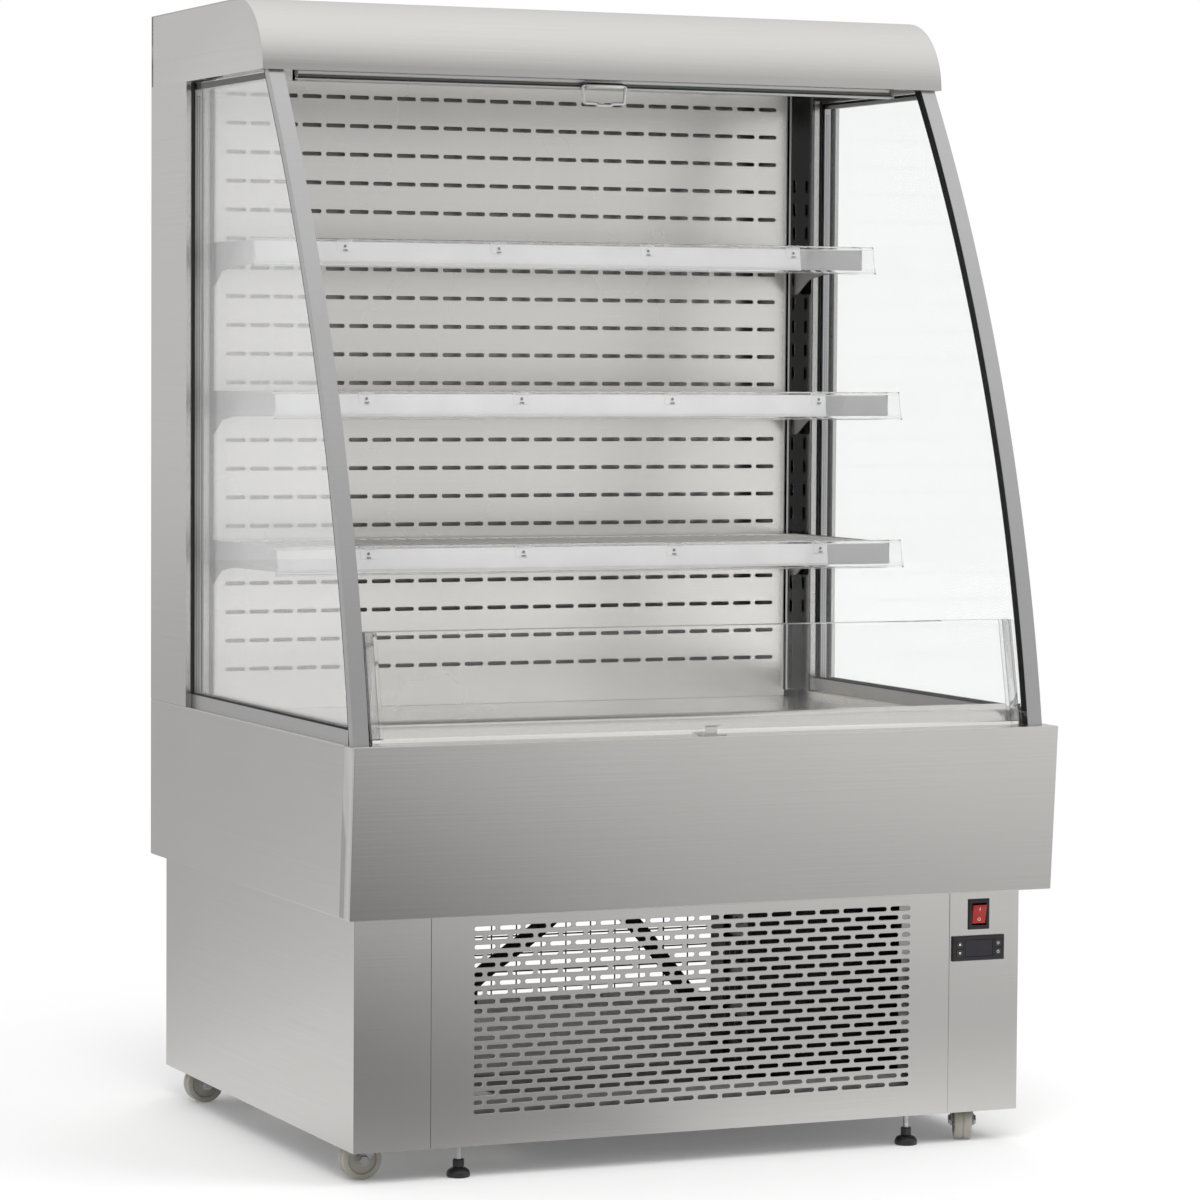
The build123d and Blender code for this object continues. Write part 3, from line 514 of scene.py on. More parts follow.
def brushed_group():
    """Horizontal brushing: long fine streaks, broader bands and a little smudging."""
    tree, start, end = group("Brushed grain", {"Fineness": 900.0, "Smudge": 4.0},
                             {"Streaks": "Float", "Smudges": "Float"})
    place = node(tree, "TexCoord").outputs["Object"]
    stretch = node(tree, "Mapping", Vector=place, Scale=(3.0, 3.0, 1.0))
    upright = node(tree, "CombineXYZ", X=1.0, Y=1.0, Z=start["Fineness"])
    scaled = calculated(tree, "VectorMath", "MULTIPLY", stretch.outputs["Vector"],
                        upright.outputs["Vector"])
    streaks = node(tree, "TexNoise", Vector=scaled.outputs["Vector"], Scale=1.0, Detail=3.0,
                   Roughness=0.6)
    smudges = node(tree, "TexNoise", Vector=place, Scale=start["Smudge"], Detail=3.0, Roughness=0.5)
    feed(tree, end["Streaks"], streaks.outputs["Fac"])
    feed(tree, end["Smudges"], smudges.outputs["Fac"])


def grain_group():
    """Fine speckle for moulded plastic, rubber and powder coat."""
    tree, start, end = group("Moulded grain", {"Scale": 1200.0},
                             {"Grain": "Float", "Cloud": "Float"})
    place = node(tree, "TexCoord").outputs["Object"]
    grain = node(tree, "TexNoise", Vector=place, Scale=start["Scale"], Detail=2.0)
    cloud = node(tree, "TexNoise", Vector=place, Scale=18.0, Detail=3.0)
    feed(tree, end["Grain"], grain.outputs["Fac"])
    feed(tree, end["Cloud"], cloud.outputs["Fac"])


# Materials ------------------------------------------------------------------

def blank(name):
    """Makes a material; gives its nodes and its shader."""
    material = bpy.data.materials.new(name)
    material.use_nodes = True
    return material.node_tree, material.node_tree.nodes["Principled BSDF"]


def dial(tree, shader, **values):
    """Feeds the shader's sockets, with _ for the spaces in their names."""
    for key, value in values.items():
        feed(tree, shader.inputs[key.replace("_", " ")], value)


def spread(tree, noise, low, high):
    """Maps a noise onto a range."""
    return remap(tree, noise, 0.3, 0.7, low, high)


def tone(tree, noise, base, change):
    """Base colour made a little darker and lighter by a noise."""
    return mixed(tree, noise, (*[c * (1 - change) for c in base], 1),
                 (*[min(1, c * (1 + change)) for c in base], 1))


def bump(tree, noise, shader, strength, depth):
    made = node(tree, "Bump", Strength=strength, Distance=depth, Height=noise)
    feed(tree, shader.inputs["Normal"], made.outputs["Normal"])


def brushed(name, base, rough, fineness=900.0, change=0.05, depth=0.00004):
    """Brushed or satin metal."""
    tree, shader = blank(name)
    grain = node(tree, "Group", node_tree=bpy.data.node_groups["Brushed grain"],
                 Fineness=fineness).outputs
    dial(tree, shader, Base_Color=tone(tree, grain["Streaks"], base, change), Metallic=1.0,
         Roughness=spread(tree, grain["Smudges"], rough * 0.92, rough * 1.1))
    bump(tree, grain["Streaks"], shader, 0.8, depth)


def moulded(name, base, rough, scale=1200.0, change=0.08, depth=0.00005):
    """Moulded plastic, rubber or coated metal with a fine grain."""
    tree, shader = blank(name)
    grain = node(tree, "Group", node_tree=bpy.data.node_groups["Moulded grain"],
                 Scale=scale).outputs
    dial(tree, shader, Base_Color=tone(tree, grain["Cloud"], base, change),
         Roughness=spread(tree, grain["Cloud"], rough * 0.9, min(1, rough * 1.12)))
    bump(tree, grain["Grain"], shader, 0.3, depth)


def clear(name, tint, rough, clear_share=0.0, passing=1.0):
    """Glass or clear plastic that lets light through to what stands behind it."""
    tree, shader = blank(name)
    cloud = node(tree, "Group", node_tree=bpy.data.node_groups["Moulded grain"]).outputs["Cloud"]
    dial(tree, shader, Base_Color=tone(tree, cloud, tint, 0.01), IOR=1.45,
         Roughness=spread(tree, cloud, rough, rough + 0.015), Transmission_Weight=passing)
    through = node(tree, "BsdfTransparent", Color=(*tint, 1))
    shadow = node(tree, "LightPath").outputs["Is Shadow Ray"]
    cover(tree, figure(tree, "MAXIMUM", shadow, clear_share), shader, through.outputs["BSDF"])


class FRIDGE_OT_finishes(bpy.types.Operator):
    """Makes the finishes and dresses the nodes of the frame that keep their shape"""
    bl_idname = "fridge.finishes"
    bl_label = "Finishes"

    # Gain that lightens the stainless inside the cabinet: painted light over the shade under the
    # canopy
    painted_light_gain = 1.45
    finishes = {
        "stainless": "Stainless", "galvanised": "Zinc", "coated_wire": "Wire Coat",
        "black_wire": "Black Coat", "tub_liner": "Liner", "aluminium": "Aluminium",
        "fin_aluminium": "Aluminium", "clear_glass": "Clear Glass",
        "clear_plastic": "Clear Plastic", "black_plastic": "Black Plastic",
        "key_plastic": "Key Plastic", "red_lens": "Red Lens", "black_enamel": "Black Coat",
        "foam_rubber": "Black Rubber", "blind_cloth": "Blind Cloth",
        "handle_steel": "Bright Steel", "nylon": "Nylon", "foot_plastic": "Black Plastic",
    }

    def execute(self, context):
        c = colours()
        brushed_group()
        grain_group()
        brushed("Stainless", c.steel, 0.22)
        # Lighter copy of the same stainless for the shaded inside: painted light
        brushed("Stainless Painted Light", [min(1.0, v * self.painted_light_gain) for v in c.steel], 0.26,
                depth=0.000012)
        brushed("Aluminium", c.aluminium, 0.33, fineness=300.0, change=0.03)
        brushed("Zinc", grey(0.42), 0.45, fineness=120.0, change=0.10)
        brushed("Bright Steel", grey(0.78), 0.34, fineness=60.0, change=0.04)
        # Steel of the uprights, darkened to stand in for the dark inside that they mirror: painted
        # shade
        brushed("Polished Steel Painted Dark", grey(0.20), 0.14, fineness=400.0, change=0.03)
        brushed("Spacer Metal", grey(0.62), 0.40, fineness=60.0, change=0.04)
        brushed("Fin Metal", grey(0.30), 0.45, fineness=200.0, change=0.08)
        moulded("Black Plastic", c.black, 0.42)
        moulded("Foot Plastic", (0.014, 0.014, 0.015), 0.34)
        moulded("Grey Plastic", grey(0.22), 0.40)
        moulded("Key Plastic", (0.030, 0.030, 0.033), 0.35)
        moulded("Black Coat", grey(0.010), 0.38, scale=700.0)
        moulded("Black Rubber", grey(0.010), 0.70, scale=900.0)
        moulded("Nylon", c.nylon, 0.48, scale=700.0)
        moulded("Wire Coat", (0.62, 0.62, 0.60), 0.34, scale=600.0)
        moulded("Liner", (0.66, 0.66, 0.64), 0.45, scale=500.0)
        moulded("Blind Cloth", (0.55, 0.56, 0.57), 0.80, scale=1500.0)
        moulded("Red Lens", (0.42, 0.015, 0.010), 0.22, scale=400.0)
        moulded("Display Lens", (0.012, 0.008, 0.016), 0.08, scale=300.0, depth=0.00001)
        for name, level, rough in (("Card White", 0.80, 0.45), ("Card Grey", 0.46, 0.40),
                                   ("Sign White", 0.72, 0.45)):
            moulded(name, grey(level), rough, scale=900.0, depth=0.00001)
        clear("Clear Glass", (0.994, 0.999, 0.997), 0.0)
        # Copy of the glass for the right side that passes most rays straight through and keeps
        # little reflection, so that side shows lighter: painted light
        clear("Clear Glass Right", (0.996, 0.999, 0.998), 0.0, clear_share=0.95)
        clear("Clear Plastic", grey(0.96), 0.04)
        clear("Frosted Plastic", (0.94, 0.94, 0.93), 0.30, passing=0.12)
        clear("Ground Glass", (0.86, 0.90, 0.89), 0.35, clear_share=0.10)
        for part in frame["record"]["subparts"]:
            dress(part["node"], self.finishes[part["material_slot"]])
        # The deck and the air panel take the lighter stainless: painted light
        dress("deck_pan", "Stainless Painted Light")
        dress("air_panel", "Stainless Painted Light")
        # The right side's glass takes the lighter copy: painted light
        dress("side_glass_right", "Clear Glass Right")
        return {"FINISHED"}


# Slotted sheets -------------------------------------------------------------

SLOT_SIDES = 16
SLOT_LIP = 0.0003


def slot_cell(name, wide, high, long, tall, thick):
    """One cell of a slotted sheet, centred on the origin, with a broken edge round its slot."""
    deselect()
    bpy.ops.mesh.primitive_circle_add(vertices=SLOT_SIDES, radius=tall / 2 + SLOT_LIP,
                                      fill_type="NOTHING", rotation=(pi / 2, pi / SLOT_SIDES, 0))
    cell = named(name)
    edit(cell, "VERT")
    reach, share = (long - tall) / 2, (tall / 2) / (tall / 2 + SLOT_LIP)

    def stretch(vertex):
        vertex.co.x += reach if vertex.co.x > 0 else -reach
        vertex.co.y = -thick / 2

    def narrow(vertex):
        end = reach if vertex.co.x > 0 else -reach
        vertex.co.x, vertex.co.z = end + (vertex.co.x - end) * share, vertex.co.z * share
        vertex.co.y += SLOT_LIP

    def deepen(vertex):
        vertex.co.y = thick / 2

    ring = list(range(SLOT_SIDES))
    change(cell, ring, stretch)
    to_border(cell, extruded(cell, ring), wide, high)
    slope = extruded(cell, ring)
    change(cell, slope, narrow)
    wall = extruded(cell, slope)
    change(cell, wall, deepen)
    to_border(cell, extruded(cell, wall), wide, high)
    leave()
    if cell.data.polygons[0].normal.y > 0:
        on_all_faces(cell, bpy.ops.mesh.flip_normals)
    return cell


def change(piece, places, step):
    """Applies a step to the vertices of the edited mesh at these places in its list."""
    mesh = bmesh.from_edit_mesh(piece.data)
    mesh.verts.ensure_lookup_table()
    for place in places:
        step(mesh.verts[place])
    bmesh.update_edit_mesh(piece.data)


def extruded(piece, ring):
    """Extrudes a closed ring of vertices in edit mode; gives the new ring's places."""
    bpy.ops.mesh.select_all(action="DESELECT")
    change(piece, ring, lambda vertex: vertex.select_set(True))
    mesh = bmesh.from_edit_mesh(piece.data)
    mesh.select_flush(True)
    bmesh.update_edit_mesh(piece.data)
    bpy.ops.mesh.extrude_edges_move()
    mesh = bmesh.from_edit_mesh(piece.data)
    mesh.verts.index_update()
    return [vertex.index for vertex in mesh.verts if vertex.select]


def to_border(piece, ring, wide, high):
    """Moves a ring of vertices out to a rectangle, one to each corner."""
    mesh = bmesh.from_edit_mesh(piece.data)
    mesh.verts.ensure_lookup_table()
    vertices = [mesh.verts[place] for place in ring]
    for vertex in vertices:
        reach = max(abs(vertex.co.x) / (wide / 2), abs(vertex.co.z) / (high / 2))
        vertex.co.x, vertex.co.z = vertex.co.x / reach, vertex.co.z / reach
    for x in (-wide / 2, wide / 2):
        for z in (-high / 2, high / 2):
            corner = min(vertices, key=lambda v: (v.co.x - x) ** 2 + (v.co.z - z) ** 2)
            corner.co.x, corner.co.z = x, z
    bmesh.update_edit_mesh(piece.data)


def tile(cell, columns, rows, pitch, row_pitch, place):
    """Copies a cell over columns and rows from its lowest left place."""
    select_only(cell)
    bpy.ops.object.duplicate()
    sheet = name_it("Rows")
    repeat(sheet, columns, (pitch, 0, 0))
    repeat(sheet, rows, (0, 0, row_pitch))
    sheet.location = place
    return sheet


def slotted_sheet(name, label, rows, x_in, z_in, material):
    """Joins rows of slots with their plain border and folded sides, in place of a node."""
    low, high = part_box(label)
    thick = sizes().sheet
    front, rear = low.y, low.y + thick
    for x0, z0, x1, z1 in ((-high.x, low.z, -x_in, high.z), (x_in, low.z, high.x, high.z),
                           (-x_in, low.z, x_in, z_in[0]), (-x_in, z_in[1], x_in, high.z)):
        rows.append(block("Border", (x0, front, z0), (x1, rear, z1)))
    for x in (low.x, high.x - thick):
        rows.append(block("Fold", (x, rear, low.z), (x + thick, high.y, high.z)))
    sheet = join(name, *rows)
    settle()
    finish(sheet, material, replaces=(label,))


class FRIDGE_OT_grille(bpy.types.Operator):
    """Slotted front grille with staggered rounded slots and folded edges"""
    bl_idname = "fridge.grille"
    bl_label = "Front grille"

    def execute(self, context):
        s = sizes()
        pitch, row, thick = s.grille_pitch, s.grille_row, s.sheet
        rows, columns = s.grille_rows, s.grille_columns
        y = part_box("front_grille")[0].y + thick / 2
        full = slot_cell("Grille Cell", pitch, row, s.grille_slot, s.grille_high, thick)
        half_slot = s.grille_slot / 2 - (pitch - s.grille_slot) / 2
        half = slot_cell("Half Cell", pitch / 2, row, half_slot, s.grille_high, thick)
        foot = s.grille_z - (rows - 1) / 2 * row
        left = -(columns - 1) / 2 * pitch
        odd, even = (rows + 1) // 2, rows // 2
        sheets = [tile(full, columns, odd, pitch, 2 * row, (left, y, foot)),
                  tile(full, columns - 1, even, pitch, 2 * row, (left + pitch / 2, y, foot + row))]
        for side in (-1, 1):
            x = side * (columns / 2 - 0.25) * pitch
            sheets.append(tile(half, 1, even, pitch, 2 * row, (x, y, foot + row)))
        discard(full, half)
        z_low = foot - row / 2
        slotted_sheet("front_grille_slotted", "front_grille", sheets, columns / 2 * pitch,
                      (z_low, z_low + rows * row), "Stainless")
        return {"FINISHED"}


class FRIDGE_OT_air_panel(bpy.types.Operator):
    """Slotted rear air panel with its folded sides"""
    bl_idname = "fridge.air_panel"
    bl_label = "Air panel"

    def execute(self, context):
        s = sizes()
        pitch, row, columns = s.panel_pitch, s.panel_row, s.panel_columns
        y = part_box("air_panel")[0].y + s.sheet / 2
        cell = slot_cell("Air Cell", pitch, row, s.panel_slot, s.panel_high, s.sheet)
        left = -(columns - 1) / 2 * pitch
        rows = tile(cell, columns, s.panel_rows, pitch, row, (left, y, s.panel_z))
        discard(cell)
        z_low = s.panel_z - row / 2
        # The air panel takes the lighter stainless: painted light
        slotted_sheet("air_panel_slotted", "air_panel", [rows], columns / 2 * pitch,
                      (z_low, z_low + s.panel_rows * row), "Stainless Painted Light")
        return {"FINISHED"}


class FRIDGE_OT_rear_guard(bpy.types.Operator):
    """Round wire guard over the open back of the base"""
    bl_idname = "fridge.rear_guard"
    bl_label = "Rear guard"

    wire, pitch, rise, sides = 0.0011, 0.0375, 0.0248, 8

    def execute(self, context):
        wire, pitch, rise = self.wire, self.pitch, self.rise
        low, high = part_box("rear_guard")
        y = (low.y + high.y) / 2
        ahead = y - 1.6 * wire
        columns = int((high.x - low.x - 4 * wire) / pitch)
        rows = int((high.z - low.z - 4 * wire) / rise)
        x, z = -columns * pitch / 2, (low.z + high.z) / 2 - rows * rise / 2
        wires = [self.bar((x, y, low.z + wire), (x, y, high.z - wire)),
                 self.bar((low.x + wire, ahead, z), (high.x - wire, ahead, z))]
        repeat(wires[0], columns + 1, (pitch, 0, 0))
        repeat(wires[1], rows + 1, (0, 0, rise))
        for z in (low.z + wire, high.z - wire):
            wires.append(self.bar((low.x, y, z), (high.x, y, z)))
        for x in (low.x + wire, high.x - wire):
            wires.append(self.bar((x, y, low.z), (x, y, high.z)))
        finish(join("rear_guard_wires", *wires), "Black Coat",
               replaces=("rear_guard",))
        return {"FINISHED"}

    def bar(self, start, end):
        return rod("Wire", start, end, self.wire, self.sides)


# Uprights, shelves, ticket strips -------------------------------------------

class FRIDGE_OT_uprights(bpy.types.Operator):
    """Angle uprights with two columns of slots for the bracket hooks"""
    bl_idname = "fridge.uprights"
    bl_label = "Uprights"

    thick, pitch, first, count = 0.002, 0.0325, 0.5565, 22
    x_in, x_slots, x_plain, x_out = 0.4195, 0.4245, 0.4295, 0.436
    front, slot_front, slots, slot_rear, rear, inner_rear = 0.112, 0.128, 0.133, 0.138, 0.150, 0.050

    def execute(self, context):
        low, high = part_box("shelf_uprights")
        thick, pitch, x_in, x_out = self.thick, self.pitch, self.x_in, self.x_out
        cell = slot_cell("Hook Cell", pitch, 0.0100, 0.017, 0.0042, thick)
        cell.rotation_euler = (0, pi / 2, 0)
        select_only(cell)
        settle()
        places = ((self.x_slots, back(self.front + thick / 2), self.first),
                  (x_out - thick / 2, back(self.slots), self.first))
        parts = [tile(cell, 1, self.count, pitch, pitch, place) for place in places]
        parts[1].rotation_euler = (0, 0, pi / 2)
        discard(cell)
        z_low, z_high = self.first - pitch / 2, self.first + (self.count - 0.5) * pitch
        plain = ((low.z, z_low), (z_high, high.z))

        def flange(x0, x1, near, far, z0, z1):
            parts.append(block("Flange", (x0, back(far), z0), (x1, back(near), z1)))

        flange(self.x_plain, x_out - thick, self.front, self.front + thick, z_low, z_high)
        flange(x_out - thick, x_out, self.front, self.slot_front, z_low, z_high)
        flange(x_out - thick, x_out, self.slot_rear, self.rear, z_low, z_high)
        for z0, z1 in plain:
            flange(x_in, x_out - thick, self.front, self.front + thick, z0, z1)
            flange(x_out - thick, x_out, self.front, self.rear, z0, z1)
        flange(x_in, x_in + thick, self.inner_rear, self.front, low.z, high.z)
        right = join("Upright", *parts)
        settle()
        both = join("shelf_uprights_slotted", right, mirrored(right, "Upright Left"))
        # The uprights take the darkened steel: painted shade
        finish(both, "Polished Steel Painted Dark", replaces=("shelf_uprights",))
        self.edges(low, high)
        return {"FINISHED"}

    def edges(self, low, high):
        """Bright edge between each upright and the air panel."""
        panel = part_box("air_panel")[1].x
        edge = block("Upright Edge", (panel + 0.0004, back(0.1142), low.z),
                     (self.x_in - 0.0002, back(0.1100), high.z))
        bevel_all(edge, 0.0004)
        both = join("shelf_uprights_edges", edge, mirrored(edge, "Left Edge"))
        finish(both, "Bright Steel")


class FRIDGE_OT_shelves(bpy.types.Operator):
    """Wire shelves: round border wires, close cross wires and two stays under them"""
    bl_idname = "fridge.shelves"
    bl_label = "Wire shelves"

    border, wire, stay, count = 0.0025, 0.0014, 0.0022, 43

    def execute(self, context):
        border = self.border
        for label in SHELVES:
            low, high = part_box(f"shelf_{label}")
            top, over, under = high.z - border, high.z - border + 0.0009, high.z - border - 0.0025
            y0, y1, x = low.y + border, high.y - border, high.x - border
            parts = [rod("Border", (-x, y, top), (x, y, top), border, 12) for y in (y0, y1)]
            parts += [rod("Border", (side, y0 - border, top), (side, y1 + border, top), border, 12)
                      for side in (-x, x)]
            step = 2 * x / (self.count + 1)
            cross = rod("Cross Wire", (-x + step, y0, over), (-x + step, y1, over), self.wire, 8)
            repeat(cross, self.count, (step, 0, 0))
            parts.append(cross)
            for share in (0.33, 0.67):
                y = y0 + (y1 - y0) * share
                parts.append(rod("Stay", (-x, y, under), (x, y, under), self.stay, 12))
            finish(join(f"shelf_{label}_wires", *parts), "Wire Coat",
                   replaces=(f"shelf_{label}",))
        return {"FINISHED"}


class FRIDGE_OT_brackets(bpy.types.Operator):
    """Pressed shelf brackets with hooks, a folded upper edge and riveted ends"""
    bl_idname = "fridge.brackets"
    bl_label = "Shelf brackets"

    x, thick, rear = 0.4235, 0.002, 0.114
    rivet = [(0, 0), (0.0030, 0), (0.0024, 0.0012), (0, 0.0016)]

    def execute(self, context):
        x, thick, rear = self.x, self.thick, self.rear
        pieces = []
        for distance, z in SHELVES.values():
            tip = distance - 0.005
            outline = outline_at(tip, z, [(0, -0.003), (0, -0.030), (-0.004, -0.033)])
            outline += outline_at(rear, z, [(0.095, -0.036), (0.050, -0.042), (0.018, -0.060),
                                            (0.012, -0.062), (0, -0.062), (0, -0.003)])
            parts = [profile("Bracket", outline, X, x, x + thick),
                     block("Upper Fold", (x - 0.004, back(tip - 0.004), z - 0.0060),
                           (x + thick, back(rear + 0.004), z - 0.0046)),
                     block("Rib", (x - 0.0009, back(rear + 0.085), z - 0.024),
                           (x + 0.0004, back(rear + 0.012), z - 0.013))]
            for part in parts:
                bevel_all(part, 0.0005)
            for share in (0.045, 0.62):
                place = (x - 0.0002, back(rear + 0.012 + (tip - rear) * share), z - 0.0185)
                rivet = turned("Rivet", self.rivet, place, X, 16)
                parts.append(flipped(rivet, (-1, 1, 1), (2 * x - 0.0002, 0, 0)))
            pieces.append(join("Bracket", *parts))
            settle()
            weld(pieces[-1], 1e-7)
        right = join("Brackets", *pieces)
        both = join("shelf_brackets_pressed", right, mirrored(right, "Brackets Left"))
        finish(both, "Zinc", replaces=("shelf_brackets",))
        return {"FINISHED"}


class FRIDGE_OT_strips(bpy.types.Operator):
    """Clear ticket strips with lips, a rear pocket wall, end faces and four clips each"""
    bl_idname = "fridge.strips"
    bl_label = "Ticket strips"

    reach, card_end = 0.440, 0.330
    clips = (-0.3195, -0.1065, 0.1065, 0.3195)
    forward, tall = 0.006, 0.037
    section = ((0, 0), (0, 0.0350), (0.0022, 0.0352), (0.0022, 0.0300), (0.0032, 0.0300),
               (0.0034, 0.0370), (-0.0040, 0.0370), (-0.0040, 0.0358), (-0.0012, 0.0356),
               (-0.0012, 0.0020), (-0.0040, 0.0048), (-0.0044, 0.0038))
    dot = [(0, 0), (0.0019, 0), (0.0016, 0.0003), (0, 0.0003)]

    def execute(self, context):
        for label, (distance, z) in SHELVES.items():
            self.distance, self.z = distance, z
            self.strip(label)
        return {"FINISHED"}

    def at(self, forward, down):
        """Place on the leaning strip, forward of its face and down from its top."""
        lean = self.forward * down / self.tall
        return back(self.distance + forward + lean), self.z - down

    def slab(self, name, near, far, top, foot, x0, x1):
        """Flat piece that lies against the strip."""
        corners = ((near, top), (near, foot), (far, foot), (far, top))
        return profile(name, [self.at(*corner) for corner in corners], X, x0, x1)

    def strip(self, label):
        reach, end = self.reach, self.card_end
        strip = profile("Strip", [self.at(*place) for place in self.section], X, -reach, reach)
        bevel_along(strip, X, 0.1, 0.0003)
        clear_parts, tabs, marks = [strip], [], []
        for x in self.clips:
            clip = self.slab("Clip", 0.0008, 0, -0.0004, 0.0045, x - 0.009, x + 0.009)
            bevel_all(clip, 0.0003)
            clear_parts.append(clip)
            tab = self.slab("Clip Tab", -0.0013, -0.0017, 0.0024, 0.0170, x - 0.0105, x + 0.0105)
            bevel_edges(tab, lambda edge: edge.calc_length() < 0.001, 0.0002, 1)
            tabs.append(tab)
            marks.append(turned("Clip Dot", self.dot, (x, *self.at(0.0001, 0.0100)), Y, 16))
            front, rear = self.at(0.0003, 0.0150)[0], self.at(-0.0001, 0.0150)[0]
            marks.append(block("Clip Dash", (x - 0.0030, front, self.z - 0.0156),
                               (x + 0.0030, rear, self.z - 0.0142)))
        card = self.slab("Card", -0.0019, -0.0023, 0.0052, 0.0338, -reach + 0.004, end)
        plate = self.slab("Plate", -0.0024, -0.0028, 0.0058, 0.0332, end - 0.004, reach - 0.018)
        bevel_edges(plate, lambda edge: edge.calc_length() < 0.001 and middle(edge).x > end,
                    0.003, 4)
        node_name = f"price_strip_{label}"
        for title, parts, material in (
                ("moulded", clear_parts, "Clear Plastic"), ("card", [card, *tabs], "Card White"),
                ("plate", [plate], "Card Grey"), ("marks", marks, "Grey Plastic")):
            finish(join(f"{node_name}_{title}", *parts), material, smooth=30,
                   replaces=(node_name,) if title == "moulded" else ())


# Sheets and glazing ---------------------------------------------------------

def node_copy(label, name):
    """Merged copy of a node of the frame, with its coplanar faces joined."""
    select_only(frame["nodes"][label])
    bpy.ops.object.duplicate()
    bpy.ops.object.parent_clear(type="CLEAR_KEEP_TRANSFORM")
    piece = named(name)
    for key in [key for key in piece.keys() if key.startswith("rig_")]:
        del piece[key]
    for slot in piece.material_slots:
        slot.link = "DATA"
    weld(piece, 2e-6)
    on_all_faces(piece, bpy.ops.mesh.dissolve_limited, angle_limit=radians(0.3))
    return piece


class FRIDGE_OT_sheets(bpy.types.Operator):
    """Rounded folds on the stainless sheets of the base, the band and the canopy"""
    bl_idname = "fridge.sheets"
    bl_label = "Sheet folds"

    fold, arris = 0.0016, 0.0002
    sharp, shortest, narrow = radians(40), 0.004, 0.0024

    def execute(self, context):
        for label in ("front_fascia", "band_side_left", "band_side_right", "base_side_left",
                      "base_side_right", "canopy_shell"):
            piece = node_copy(label, f"{label}_folded")
            bevel_edges(piece, lambda edge: self.outer(edge) and self.least(edge) > self.narrow,
                        self.fold, 4)
            bevel_edges(piece, lambda edge: self.outer(edge) and self.least(edge) < self.narrow,
                        self.arris, 1)
            finish(piece, "Stainless", replaces=(label,), smooth=40, level=True)
        return {"FINISHED"}

    def outer(self, edge):
        """Whether an edge is an outer fold or a cut edge."""
        return (len(edge.link_faces) == 2 and edge.calc_face_angle(0) > self.sharp
                and edge.is_convex and edge.calc_length() > self.shortest)

    def least(self, edge):
        """Width of the narrower of the two long faces that meet at an edge."""
        return min(2 * face.calc_area() / face.calc_perimeter() for face in edge.link_faces)


CURVE_Y, CURVE_Z, CURVE_RADIUS = 1.690, 0.2211, 2.0813


def curve_y(z, inset=0.0):
    """Y of the front curve of the side units at a height."""
    return CURVE_Y - sqrt((CURVE_RADIUS - inset) ** 2 - (z - CURVE_Z) ** 2)


def curved_strip(name, x0, x1, inset, wide, low, high, steps=40):
    """Strip that follows the front curve, from its inset inwards by its width."""
    heights = [low + (high - low) * k / steps for k in range(steps + 1)]
    outline = [(curve_y(z, inset), z) for z in heights]
    outline += [(curve_y(z, inset + wide), z) for z in reversed(heights)]
    return profile(name, outline, X, x0, x1)


